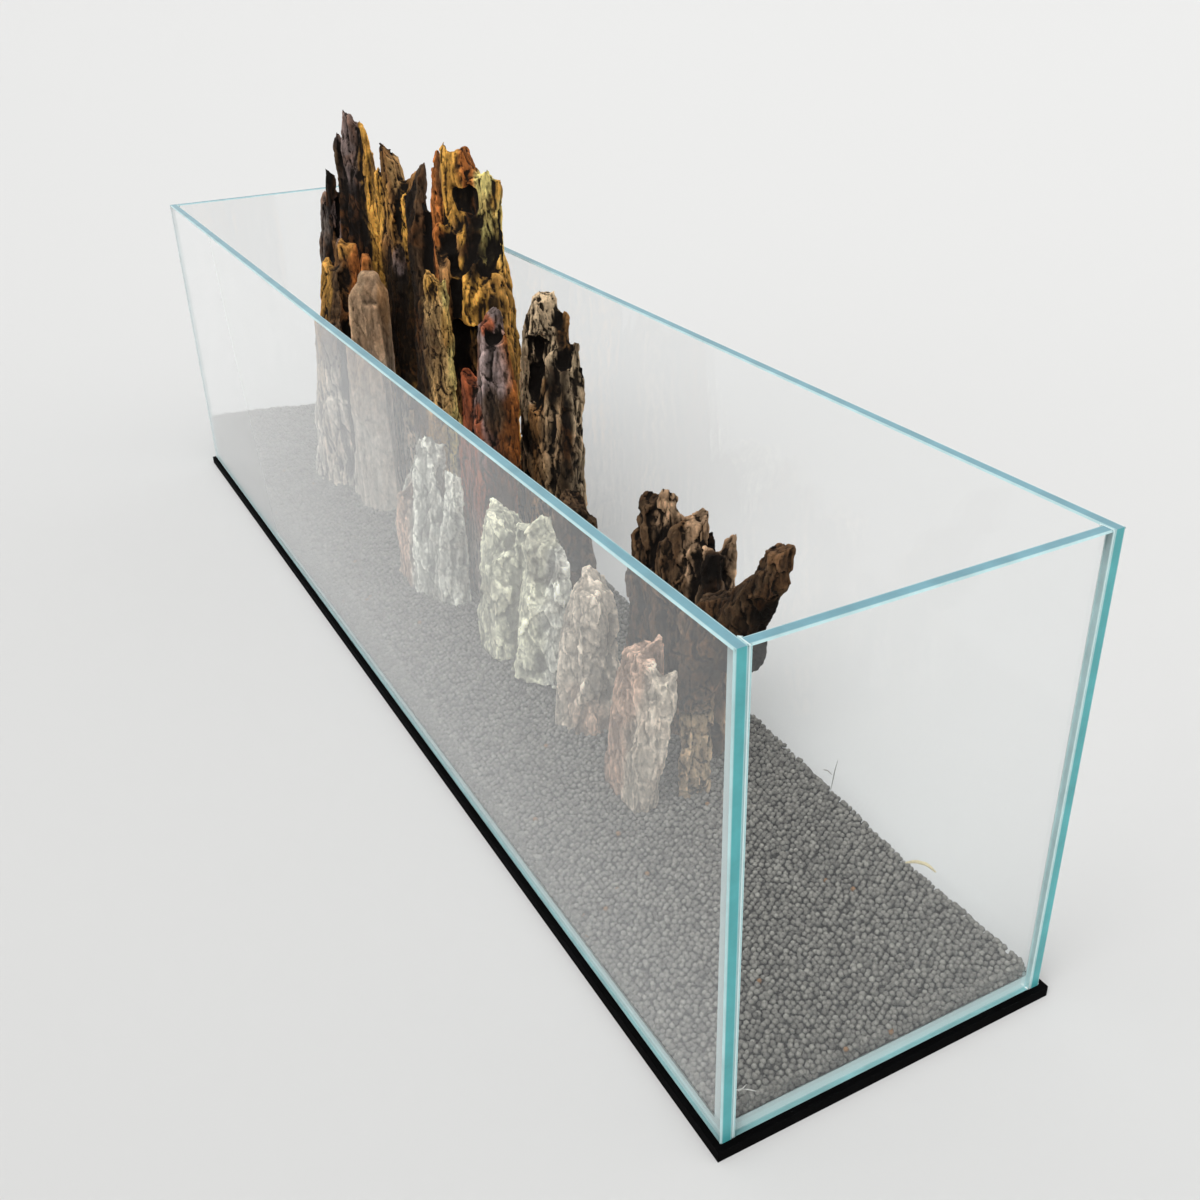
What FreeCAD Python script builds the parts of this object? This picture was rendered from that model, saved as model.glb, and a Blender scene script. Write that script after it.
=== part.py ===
import FreeCAD, Part
import math
import os

import Sketcher
from FreeCAD import Rotation, Vector

# A long, low, rimless glass aquarium on a thin levelling mat, with a sloping bed of
# granular soil and fifteen loose stones. Millimetres, +Z up. The origin is on the
# underside of the mat, below the middle of the tank. +X is along the tank, and the
# front pane faces -Y.

doc = FreeCAD.newDocument("aquarium")

# Sizes: each one is written here once.
sizes = {
    "tankLength": 900,
    "tankDepth": 180,
    "tankHeight": 240,
    "glassThickness": 6,
    "edgeBevel": 0.6,        # ground edge of each pane
    "glueGap": 0.6,          # silicone between two panes
    "beadLeg": 1.5,          # leg of the silicone bead inside each corner
    "matThickness": 6,
    "matOverhang": 3,
    "soilLeftDepth": 34,     # depth of the soil at the left end
    "soilCrestDepth": 32,    # depth where the slope to the right begins
    "soilRightDepth": 8,     # depth of the flat stretch at the right end
    "crestFromLeft": 464,    # from the left end pane to the crest
    "toeFromRight": 74,      # from the right end pane to the foot of the slope
    "looseGap": 0.3,         # clearance round the soil and round each stone's foot
    "stoneSink": 5,          # how far a stone is pressed into the soil
    "skirtHeight": 11,       # upright foot of each stone
}

# Each stone: its place on the soil, its size along X, Y and Z, and its shards. A shard
# is an upright tapering prism: the place of its foot and its half spans, as shares of
# the stone's half length and half width, its rise as a share of the stone's height, how
# far its top leans along X and Y in the same shares, and the width of its tip as a share
# of its foot.
stones = {
    "spire": dict(place=(-281, 21), size=(142, 40, 298), shards=[
        (0.44, 0.05, 0.32, 0.90, 1.00, 0.00, 0.0, 0.14),
        (0.12, 0.00, 0.34, 0.90, 0.93, 0.00, 0.0, 0.14),
        (-0.26, -0.05, 0.34, 0.85, 0.86, -0.06, 0.0, 0.20),
        (-0.68, -0.10, 0.30, 0.80, 0.76, -0.04, 0.0, 0.45),
        (0.72, 0.10, 0.27, 0.80, 0.97, 0.00, 0.0, 0.14)]),
    "column": dict(place=(-180, 30), size=(54, 38, 280), shards=[
        (0.15, 0.05, 0.80, 0.90, 1.00, -0.20, 0.0, 0.40),
        (-0.55, -0.10, 0.42, 0.75, 0.91, 0.00, 0.0, 0.30)]),
    "golden": dict(place=(-86, 42), size=(130, 58, 292), shards=[
        (-0.10, -0.10, 0.38, 0.80, 1.00, 0.05, 0.0, 0.30),
        (-0.42, -0.22, 0.36, 0.75, 0.97, 0.12, 0.0, 0.20),
        (-0.70, -0.35, 0.29, 0.62, 0.93, 0.10, 0.0, 0.25),
        (0.20, 0.00, 0.42, 0.85, 0.95, 0.05, 0.0, 0.35),
        (0.60, 0.20, 0.38, 0.74, 0.92, -0.14, 0.0, 0.40)]),
    "leaning": dict(place=(-256, -23), size=(90, 36, 208), shards=[
        (0.00, 0.00, 0.98, 0.98, 1.00, 0.80, 0.5, 0.36)]),
    "oval": dict(place=(-171, -7), size=(56, 34, 192), shards=[
        (0.00, 0.00, 0.98, 0.98, 1.00, 0.10, 0.0, 0.62)]),
    "tan": dict(place=(-49, 2), size=(46, 22, 220), shards=[
        (0.00, 0.00, 0.98, 0.98, 1.00, 0.05, 0.0, 0.50)]),
    "purple": dict(place=(22, 9), size=(84, 32, 208), shards=[
        (0.35, 0.10, 0.62, 0.85, 1.00, -0.20, 0.0, 0.40),
        (-0.46, -0.10, 0.52, 0.80, 0.70, 0.00, 0.0, 0.60)]),
    "medium": dict(place=(30, 48), size=(88, 38, 217), shards=[
        (0.08, 0.00, 0.52, 0.90, 1.00, 0.00, 0.0, 0.42),
        (-0.48, -0.35, 0.48, 0.62, 0.86, 0.00, 0.0, 0.45),
        (0.60, 0.00, 0.36, 0.80, 0.88, -0.05, 0.0, 0.45)]),
    "small": dict(place=(94, 31), size=(44, 28, 112), shards=[
        (0.00, 0.00, 0.98, 0.98, 1.00, 0.00, 0.0, 0.65)]),
    "front": dict(place=(-28, -26), size=(104, 34, 122), shards=[
        (0.30, 0.10, 0.68, 0.90, 1.00, 0.00, 0.2, 0.45),
        (-0.50, -0.10, 0.50, 0.80, 0.72, 0.10, 0.2, 0.45)]),
    "pale": dict(place=(90, -11), size=(112, 36, 112), shards=[
        (0.35, 0.25, 0.64, 0.72, 1.00, 0.20, 0.1, 0.70),
        (-0.46, -0.10, 0.54, 0.85, 0.88, 0.10, 0.1, 0.65)]),
    "pink": dict(place=(173, -6), size=(56, 42, 110), shards=[
        (0.00, 0.00, 0.98, 0.98, 1.00, 0.40, 0.1, 0.60)]),
    "blade": dict(place=(235, -9), size=(44, 26, 106), shards=[
        (0.00, 0.00, 0.98, 0.98, 1.00, 1.20, 0.0, 0.55)]),
    "low": dict(place=(194, 47), size=(130, 38, 152), shards=[
        (-0.22, 0.10, 0.38, 0.90, 0.98, 0.00, 0.0, 0.45),
        (-0.66, 0.05, 0.32, 0.80, 0.84, 0.00, 0.0, 0.50),
        (0.26, -0.05, 0.42, 0.90, 0.94, 0.00, 0.0, 0.55),
        (0.66, -0.10, 0.32, 0.80, 0.94, 0.00, 0.0, 0.60)]),
    "hook": dict(place=(260, 15), size=(36, 26, 182), shards=[
        (0.00, 0.00, 0.95, 0.95, 0.77, 1.80, 0.2, 0.85),
        (0.30, 0.10, 0.60, 0.70, 1.00, 3.10, 0.4, 0.75)]),
}
shardSides = 7
shardUneven = 0.16       # how uneven a shard's corners are
waistShare = 0.74        # where a shard is widest above its foot, as a share of its rise
waistWidth = 0.30        # how much of its taper a shard has there

# The spreadsheet holds every size, the stones' places and sizes included.
for name, stone in stones.items():
    x, y = stone["place"]
    length, width, height = stone["size"]
    sizes.update({name + "PlaceX": x, name + "PlaceY": y})
    sizes.update({name + "Length": length, name + "Width": width, name + "Height": height})
sheet = doc.addObject("Spreadsheet::Sheet", "Sizes")
for row, (name, value) in enumerate(sizes.items(), start=1):
    sheet.set("A%d" % row, name)
    sheet.set("B%d" % row, str(value))
    sheet.setAlias("B%d" % row, name)
doc.recompute()


def size(name):
    return float(sheet.get(name))


def place(thing, x, y, z):
    """Bind a thing's place to three expressions."""
    for axis, expression in zip("xyz", (x, y, z)):
        thing.setExpression("Placement.Base." + axis, expression)


# Expressions that several sub-parts share: the inner faces of the walls and two levels.
innerX = "(Sizes.tankLength / 2 - Sizes.glassThickness)"
innerY = "(Sizes.tankDepth / 2 - Sizes.glassThickness)"
tankFloor = "Sizes.matThickness"
soilFloor = "(Sizes.matThickness + Sizes.glassThickness)"


def originPlane(body, role):
    return [plane for plane in body.Origin.OriginFeatures if plane.Role == role][0]


def closedSketch(body, name, role, corners):
    """A closed outline of straight edges on one of the body's origin planes."""
    sketch = body.newObject("Sketcher::SketchObject", name)
    sketch.AttachmentSupport = [(originPlane(body, role), "")]
    sketch.MapMode = "FlatFace"
    points = [Vector(across, up, 0) for across, up in corners]
    for start, end in zip(points, points[1:] + points[:1]):
        sketch.addGeometry(Part.LineSegment(start, end), False)
    for edge in range(len(points)):
        following = (edge + 1) % len(points)
        sketch.addConstraint(Sketcher.Constraint("Coincident", edge, 2, following, 1))
    return sketch


def bindConstraint(sketch, name, constraint, expression):
    index = sketch.addConstraint(constraint)
    sketch.renameConstraint(index, name)
    sketch.setExpression("Constraints." + name, expression)


def makeSlab(label, spanX, spanY, height, bevel=None):
    """A rectangular slab that stands on its body's origin, with ground edges if asked."""
    body = doc.addObject("PartDesign::Body", label)
    corners = [(-1, -1), (1, -1), (1, 1), (-1, 1)]
    outline = closedSketch(body, label + "Outline", "XY_Plane", corners)
    for kind, edge in (("Horizontal", 0), ("Horizontal", 2), ("Vertical", 1), ("Vertical", 3)):
        outline.addConstraint(Sketcher.Constraint(kind, edge))
    outline.addConstraint(Sketcher.Constraint("Symmetric", 0, 1, 2, 1, -1, 1))
    bindConstraint(outline, "spanX", Sketcher.Constraint("Distance", 0, 2), spanX)
    bindConstraint(outline, "spanY", Sketcher.Constraint("Distance", 1, 2), spanY)
    pad = body.newObject("PartDesign::Pad", label + "Pad")
    pad.Profile = outline
    pad.setExpression("Length", height)
    if bevel:
        doc.recompute()
        ground = body.newObject("PartDesign::Chamfer", label + "Bevel")
        ground.Base = (pad, ["Face1"])
        ground.UseAllEdges = True
        ground.setExpression("Size", bevel)
    return body


def makePanes():
    """Front and back run the full length, the ends and the bottom sit between them."""
    shortDepth = innerY + " * 2 - Sizes.glueGap * 2"
    shortLength = innerX + " * 2 - Sizes.glueGap * 2"
    thick, tall, ground = "Sizes.glassThickness", "Sizes.tankHeight", "Sizes.edgeBevel"
    for name, side in (("front_pane", "-1"), ("back_pane", "1")):
        pane = makeSlab(name, "Sizes.tankLength", thick, tall, ground)
        place(pane, "0", side + " * (Sizes.tankDepth - Sizes.glassThickness) / 2", tankFloor)
    for name, side in (("left_pane", "-1"), ("right_pane", "1")):
        pane = makeSlab(name, thick, shortDepth, tall, ground)
        place(pane, side + " * (Sizes.tankLength - Sizes.glassThickness) / 2", "0", tankFloor)
    pane = makeSlab("bottom_pane", shortLength, shortDepth, thick, ground)
    place(pane, "0", "0", tankFloor)


def makeSeam(label, boxSize, boxPlace, beadLength, beadPlace, legs):
    """Silicone: the thin filling between two panes and the bead inside their corner."""
    filling = doc.addObject("Part::Box", label + "Filling")
    for side, expression in zip(("Length", "Width", "Height"), boxSize):
        filling.setExpression(side, expression)
    place(filling, *boxPlace)
    bead = doc.addObject("Part::Wedge", label + "Bead")
    for edge in ("Xmin", "Ymin", "Zmin", "X2min", "X2max", "Z2min"):
        setattr(bead, edge, 0)
    for edge in ("Xmax", "Ymax"):
        bead.setExpression(edge, "Sizes.beadLeg")
    for edge in ("Zmax", "Z2max"):
        bead.setExpression(edge, beadLength)
    legX, legY = (Vector(*leg) for leg in legs)
    bead.Placement.Rotation = Rotation(legX, legY, legX.cross(legY), "ZXY")
    place(bead, *beadPlace)
    seam = doc.addObject("Part::Fuse", label)
    seam.Base = filling
    seam.Tool = bead


def makeUprightSeams():
    """One seam in each upright corner, between an end pane and the front or back pane."""
    corners = {
        "left_front_seam": (-1, -1, ((1, 0, 0), (0, 1, 0))),
        "right_front_seam": (1, -1, ((0, 1, 0), (-1, 0, 0))),
        "right_back_seam": (1, 1, ((-1, 0, 0), (0, -1, 0))),
        "left_back_seam": (-1, 1, ((0, -1, 0), (1, 0, 0))),
    }
    for label, (endSign, sideSign, legs) in corners.items():
        boxX = innerX if endSign > 0 else "-Sizes.tankLength / 2"
        boxY = innerY + " - Sizes.glueGap" if sideSign > 0 else "-" + innerY
        makeSeam(
            label,
            ("Sizes.glassThickness", "Sizes.glueGap", "Sizes.tankHeight"),
            (boxX, boxY, tankFloor),
            "Sizes.tankHeight - Sizes.glassThickness",
            ("%d * %s" % (endSign, innerX), "%d * %s" % (sideSign, innerY), soilFloor),
            legs)


def makeBottomSeams():
    """One seam along each edge of the bottom pane."""
    fullX = innerX + " * 2"
    shortY = innerY + " * 2 - Sizes.glueGap * 2"
    beadX = innerX + " * 2 - Sizes.beadLeg * 2"
    beadY = innerY + " * 2 - Sizes.beadLeg * 2"
    startX = "Sizes.beadLeg - " + innerX
    startY = "Sizes.beadLeg - " + innerY
    for label, sign, boxY, legs in (
            ("bottom_front_seam", -1, "-" + innerY, ((0, 1, 0), (0, 0, 1))),
            ("bottom_back_seam", 1, innerY + " - Sizes.glueGap", ((0, 0, 1), (0, -1, 0)))):
        makeSeam(
            label,
            (fullX, "Sizes.glueGap", "Sizes.glassThickness"),
            ("-" + innerX, boxY, tankFloor),
            beadX, (startX, "%d * %s" % (sign, innerY), soilFloor), legs)
    for label, sign, boxX, legs in (
            ("bottom_left_seam", -1, "-" + innerX, ((0, 0, 1), (1, 0, 0))),
            ("bottom_right_seam", 1, innerX + " - Sizes.glueGap", ((-1, 0, 0), (0, 0, 1)))):
        makeSeam(
            label,
            ("Sizes.glueGap", shortY, "Sizes.glassThickness"),
            (boxX, "Sizes.glueGap - " + innerY, tankFloor),
            beadY, ("%d * %s" % (sign, innerX), startY, soilFloor), legs)


def makeMat():
    mat = makeSlab(
        "leveling_mat",
        "Sizes.tankLength + Sizes.matOverhang * 2",
        "Sizes.tankDepth + Sizes.matOverhang * 2",
        "Sizes.matThickness")
    place(mat, "0", "0", "0")


def soilProfile():
    """Corners of the soil's top, from left to right, over the bottom pane."""
    end = size("tankLength") / 2 - size("glassThickness") - size("looseGap")
    crest = size("crestFromLeft") - size("tankLength") / 2 + size("glassThickness")
    toe = size("tankLength") / 2 - size("glassThickness") - size("toeFromRight")
    return [
        (-end, size("soilLeftDepth")),
        (crest, size("soilCrestDepth")),
        (toe, size("soilRightDepth")),
        (end, size("soilRightDepth"))]


def soilTop(x):
    """Height of the soil at x: straight from each corner of its profile to the next."""
    corners = soilProfile()
    for (x0, depth0), (x1, depth1) in zip(corners, corners[1:]):
        if x <= x1:
            depth = depth0 + (depth1 - depth0) * (x - x0) / (x1 - x0)
            return size("matThickness") + size("glassThickness") + depth
    return size("matThickness") + size("glassThickness") + size("soilRightDepth")


def shardOutline(shard, order, halfLength, halfWidth, spread=0):
    """Corners of a shard's foot, unevenly far from its middle, and that middle."""
    across, along, spanX, spanY = shard[:4]
    middle = Vector(halfLength * across, halfWidth * along, 0)
    corners = []
    for index in range(shardSides):
        angle = 2 * math.pi * (index + 0.37 * order) / shardSides
        reach = 1 - shardUneven * ((index * 3 + order) % shardSides) / shardSides
        x = halfLength * spanX * reach * math.cos(angle)
        y = halfWidth * spanY * reach * math.sin(angle)
        stretch = 1 + spread / math.hypot(x, y)
        corners.append(Vector(x * stretch, y * stretch, 0))
    return middle, corners


def section(middle, corners, shift, width, z):
    """A shard's outline at height z, drawn in to a width and shifted by its lean."""
    return [middle + shift + corner * width + Vector(0, 0, z) for corner in corners]


def prism(lower, upper):
    """A closed solid between two outlines with the same number of corners."""
    faces = [Part.Face(Part.makePolygon(ring + ring[:1])) for ring in (lower, upper)]
    for index in range(len(lower)):
        following = (index + 1) % len(lower)
        ring = [lower[index], lower[following], upper[following], upper[index], lower[index]]
        faces.append(Part.Face(Part.makePolygon(ring)))
    return Part.makeSolid(Part.makeShell(faces))


def shardSolid(shard, order, name):
    """An upright foot, a waist part of the way up and a narrow tip, as one solid."""
    halfLength, halfWidth = size(name + "Length") / 2, size(name + "Width") / 2
    rise, leanX, leanY, tip = shard[4:]
    top = rise * size(name + "Height")
    middle, corners = shardOutline(shard, order, halfLength, halfWidth)
    levels = [(0, 0, 1), (size("skirtHeight"), 0, 1)]
    levels += [(top * waistShare, waistShare, 1 - (1 - tip) * waistWidth), (top, 1, tip)]
    outlines = []
    for z, share, width in levels:
        shift = Vector(halfLength * leanX, halfWidth * leanY, 0) * share
        outlines.append(section(middle, corners, shift, width, z))
    pieces = [prism(lower, upper) for lower, upper in zip(outlines, outlines[1:])]
    return pieces[0].multiFuse(pieces[1:]).removeSplitter()


def makeStones():
    """Each stone is its shards grown together, standing on the floor of its own dent."""
    dents = []
    for turn, (name, stone) in enumerate(stones.items()):
        x, y = size(name + "PlaceX"), size(name + "PlaceY")
        foot = Vector(x, y, soilTop(x) - size("stoneSink"))
        grown = [shardSolid(shard, turn + order, name) for order, shard in enumerate(stone["shards"])]
        body = doc.addObject("Part::Feature", name + "_stone")
        body.Shape = grown[0].multiFuse(grown[1:]).removeSplitter() if grown[1:] else grown[0]
        body.Placement.Base = foot
        for order, shard in enumerate(stone["shards"]):
            halfLength, halfWidth = size(name + "Length") / 2, size(name + "Width") / 2
            middle, corners = shardOutline(shard, turn + order, halfLength, halfWidth, size("looseGap"))
            rim = section(middle, corners, Vector(), 1, size("tankHeight"))
            dent = doc.addObject("Part::Feature", "%sDent%d" % (name, order))
            dent.Shape = prism(section(middle, corners, Vector(), 1, 0), rim)
            dent.Placement.Base = foot
            dents.append(dent)
    return dents


def makeSoil(dents):
    """The bed slopes down to the right and has a dent under each stone."""
    body = doc.addObject("PartDesign::Body", "soilBlock")
    top = soilProfile()
    corners = [(top[0][0], 0)] + top + [(top[-1][0], 0)]
    outline = closedSketch(body, "soilOutline", "XZ_Plane", corners)
    for edge in range(len(corners)):
        outline.addConstraint(Sketcher.Constraint("Block", edge))
    pad = body.newObject("PartDesign::Pad", "soilPad")
    pad.Profile = outline
    pad.Midplane = True
    pad.setExpression("Length", innerY + " * 2 - Sizes.looseGap * 2")
    doc.recompute()
    eased = body.newObject("PartDesign::Chamfer", "soilEased")
    edges = ["Edge%d" % (index + 1) for index, edge in enumerate(pad.Shape.Edges) if lowOrUpright(edge)]
    eased.Base = (pad, edges)
    eased.setExpression("Size", "Sizes.beadLeg")
    place(body, "0", "0", soilFloor)
    pressed = doc.addObject("Part::Compound", "soilDents")
    pressed.Links = dents
    soil = doc.addObject("Part::Cut", "soil_bed")
    soil.Base = body
    soil.Tool = pressed


def lowOrUpright(edge):
    """True for an edge along the bottom of the soil or up one of its four corners."""
    first, last = edge.Vertexes[0].Point, edge.Vertexes[-1].Point
    low = max(first.z, last.z) < 1e-6
    upright = abs(first.z - last.z) > 1 and (first - last).cross(Vector(0, 0, 1)).Length < 1e-6
    return low or upright


makePanes()
makeUprightSeams()
makeBottomSeams()
makeMat()
makeSoil(makeStones())
doc.recompute()

nodes = ["front_pane", "back_pane", "left_pane", "right_pane", "bottom_pane"]
nodes += ["left_front_seam", "right_front_seam", "left_back_seam", "right_back_seam"]
nodes += ["bottom_front_seam", "bottom_back_seam", "bottom_left_seam", "bottom_right_seam"]
nodes += ["leveling_mat", "soil_bed"] + [name + "_stone" for name in stones]

for thing in doc.Objects:
    faults = [state for state in thing.State if state in ("Invalid", "Error")]
    if faults:
        raise RuntimeError("%s is %s" % (thing.Label, faults))
for node in nodes:
    shape = doc.getObject(node).Shape
    if shape.isNull() or not shape.isValid():
        raise RuntimeError(node + " has no valid shape")

os.makedirs("parts", exist_ok=True)
for node in nodes:
    shape = doc.getObject(node).Shape
    shape.exportStep("parts/%s.step" % node)
    print("%-18s %2d solid %10.0f mm3" % (node, len(shape.Solids), shape.Volume))
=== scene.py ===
import math

import bpy
import numpy as np
from mathutils import Matrix, Vector


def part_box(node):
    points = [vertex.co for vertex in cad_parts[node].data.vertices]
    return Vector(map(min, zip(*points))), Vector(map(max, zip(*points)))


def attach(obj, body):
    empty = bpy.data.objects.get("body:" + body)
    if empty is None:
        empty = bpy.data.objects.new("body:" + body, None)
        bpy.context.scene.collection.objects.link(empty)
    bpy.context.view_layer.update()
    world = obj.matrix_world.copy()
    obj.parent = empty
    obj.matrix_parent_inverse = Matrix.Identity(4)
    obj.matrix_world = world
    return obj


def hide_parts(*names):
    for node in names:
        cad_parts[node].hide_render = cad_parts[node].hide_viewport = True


# A long rimless aquarium on a black levelling mat, with granular soil and loose stones.
# Metres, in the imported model's frame: +X along the tank, and the front pane faces -Y.

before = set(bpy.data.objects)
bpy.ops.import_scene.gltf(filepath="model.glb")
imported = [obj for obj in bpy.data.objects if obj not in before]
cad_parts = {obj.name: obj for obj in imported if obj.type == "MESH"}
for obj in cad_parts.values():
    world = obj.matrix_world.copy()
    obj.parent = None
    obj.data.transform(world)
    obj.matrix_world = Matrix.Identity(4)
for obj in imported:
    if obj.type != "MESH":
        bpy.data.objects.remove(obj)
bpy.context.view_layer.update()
mm = 0.001
weldGrid = 0.002 * mm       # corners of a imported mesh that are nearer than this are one
print("frame loaded:", len(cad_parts), "nodes")


# An object for a mesh, camera or lamp, at the origin.
def newObject(name, data):
    piece = bpy.data.objects.new(name, data)
    bpy.context.scene.collection.objects.link(piece)
    return piece


# A piece from whole arrays: its points, and one or more arrays of faces.
def newPiece(name, points, *faces, smooth=True):
    mesh = bpy.data.meshes.new(name)
    mesh.from_pydata(points.tolist(), [], [face for group in faces for face in group.tolist()])
    mesh.polygons.foreach_set("use_smooth", np.full(len(mesh.polygons), smooth))
    return newObject(name, mesh)


# Reads a vector field, such as co or normal, as one row for each point.
def readArray(items, field):
    flat = np.empty(len(items) * 3)
    items.foreach_get(field, flat)
    return flat.reshape(-1, 3)


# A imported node's mesh with its loose corners merged: each is rounded to the weld grid,
# equal ones become one, and triangles that have lost a corner are left out.
def mergedMesh(node):
    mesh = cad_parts[node].data
    mesh.calc_loop_triangles()
    corners = np.empty(len(mesh.loop_triangles) * 3, np.int64)
    mesh.loop_triangles.foreach_get("vertices", corners)
    rounded = np.round(readArray(mesh.vertices, "co") / weldGrid)
    points, number = np.unique(rounded, axis=0, return_inverse=True)
    triangles = number.ravel()[corners].reshape(-1, 3)
    one, two, three = triangles.T
    return points * weldGrid, triangles[(one != two) & (two != three) & (three != one)]


# A number, and below it a colour, kept on each point for the material to read.
def writeValues(mesh, name, values):
    layer = mesh.attributes.new(name, "FLOAT", "POINT")
    layer.data.foreach_set("value", np.ascontiguousarray(values, np.float32))


def writeColours(mesh, name, colours):
    layer = mesh.attributes.new(name, "FLOAT_COLOR", "POINT")
    full = np.ones((len(colours), 4), np.float32)
    full[:, :3] = colours
    layer.data.foreach_set("color", full.ravel())


# Randomness that depends only on a cell's whole numbers and a seed.
def cellNoise(cells, seed):
    c = cells.astype(np.int64)
    h = c[..., 0] * 73856093 ^ c[..., 1] * 19349663 ^ c[..., 2] * 83492791 ^ (seed + 1) * 2654435
    h = (h ^ (h >> 13)) * 1274126177 & 0xFFFFFFFF
    h = (h ^ (h >> 15)) * 2246822519 & 0xFFFFFFFF
    return ((h ^ (h >> 13)) & 0xFFFFFF) / 0xFFFFFF


# Value noise: random numbers on a lattice, eased between its corners, halved in size and
# strength for each further octave. From -1 to 1.
def softNoise(points, seed, octaves=3):
    total = np.zeros(len(points))
    strength = 1.0
    for octave in range(octaves):
        base = np.floor(points)
        share = points - base
        ease = share * share * (3 - 2 * share)
        value = np.zeros(len(points))
        for corner in np.ndindex(2, 2, 2):
            offset = np.array(corner)
            weight = np.prod(np.where(offset == 1, ease, 1 - ease), axis=1)
            value += weight * cellNoise(base + offset, seed + 17 * octave)
        total += strength * (value * 2 - 1)
        strength *= 0.5
        points = points * 2 + 7.3
    return total / (2 - 2 * strength)


# Scallops: how far each point is from the border between its two nearest seeds, one seed
# in each lattice cell, the seed's random share and the way from the seed to the point.
def scallops(points, seed):
    base = np.floor(points)
    near = np.full(len(points), 9.0)
    second = np.full(len(points), 9.0)
    share = np.zeros(len(points))
    offset = np.zeros_like(points)
    for step in np.ndindex(3, 3, 3):
        cell = base + np.array(step) - 1
        way = points - cell - np.stack([cellNoise(cell, seed + k) for k in range(3)], axis=1)
        distance = np.linalg.norm(way, axis=1)
        closer = distance < near
        second = np.where(closer, near, np.minimum(second, distance))
        share = np.where(closer, cellNoise(cell, seed + 3), share)
        offset = np.where(closer[:, None], way, offset)
        near = np.where(closer, distance, near)
    return second - near, share, offset


# From 0 at the low value to 1 at the high one, level at both ends.
def easedStep(low, high, value):
    share = np.clip((value - low) / (high - low), 0, 1)
    return share * share * (3 - 2 * share)


# An empty node tree in a new material.
def newMaterial(name):
    material = bpy.data.materials.new(name)
    material.use_nodes = True
    tree = material.node_tree
    tree.nodes.clear()
    return material, tree


# A node with its settings. An input is either a constant or another node's socket.
def addNode(tree, kind, inputs=None, **settings):
    node = tree.nodes.new(kind)
    for field, value in settings.items():
        setattr(node, field, value)
    for socket, value in (inputs or {}).items():
        if isinstance(value, bpy.types.NodeSocket):
            tree.links.new(value, node.inputs[socket])
        else:
            node.inputs[socket].default_value = value
    return node


# Noise on the piece's own coordinates. The scale is in cells to the metre.
def noiseOf(tree, scale, detail=4.0, roughness=0.55, distortion=0.0, stretch=None):
    place = addNode(tree, "ShaderNodeTexCoord").outputs["Object"]
    if stretch:
        place = addNode(tree, "ShaderNodeMapping", {"Vector": place, "Scale": stretch}).outputs[0]
    inputs = {"Vector": place, "Scale": scale, "Detail": detail, "Roughness": roughness}
    inputs["Distortion"] = distortion
    return addNode(tree, "ShaderNodeTexNoise", inputs).outputs["Fac"]


# Moves a value from one range to another in a straight line, and stops at the new ends.
def remap(tree, value, low, high, newLow, newHigh):
    inputs = {"Value": value, "From Min": low, "From Max": high, "To Min": newLow, "To Max": newHigh}
    return addNode(tree, "ShaderNodeMapRange", inputs).outputs[0]


# Sockets 0, 6 and 7 of a colour mix are its share and its two colours.
def mixColours(tree, share, first, second, blend="MIX"):
    node = addNode(tree, "ShaderNodeMix", data_type="RGBA", blend_type=blend)
    for socket, value in ((0, share), (6, first), (7, second)):
        if isinstance(value, bpy.types.NodeSocket):
            tree.links.new(value, node.inputs[socket])
        else:
            node.inputs[socket].default_value = value
    return node.outputs[2]


def bumpOf(tree, height, strength, distance):
    inputs = {"Height": height, "Strength": strength, "Distance": distance}
    return addNode(tree, "ShaderNodeBump", inputs).outputs[0]


def finishMaterial(tree, surface, volume=None):
    output = addNode(tree, "ShaderNodeOutputMaterial", {"Surface": surface})
    if volume:
        tree.links.new(volume, output.inputs["Volume"])


# The one material of a piece.
def dress(thing, material):
    thing.data.materials.clear()
    thing.data.materials.append(material)


# The main view, a white studio floor and soft light.
studio = {
    "cameraPlace": (0.739779, -0.289078, 0.454772),
    "right": (0.473435, 0.880415, -0.026994),       # the camera's own axes
    "up": (-0.408070, 0.246389, 0.879074),
    "back": (0.780601, -0.405169, 0.475920),
    "lens": 37.43,          # mm, on a film of the width below
    "film": 36,
    "floorHalf": 30.0,      # half the floor's side
    "floorColour": (0.715, 0.715, 0.708, 1),
    "skyStrength": 0.81,
    "keyFrom": (0.65, -0.75, 1.35),         # the way towards the sun lamp
    "keySpread": 50,        # degrees across, which makes its shadows soft
    "keyStrength": 1.15,
    "bounces": 32,          # enough for light to get through five panes and back
    "glossyBounces": 24,
}


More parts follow.
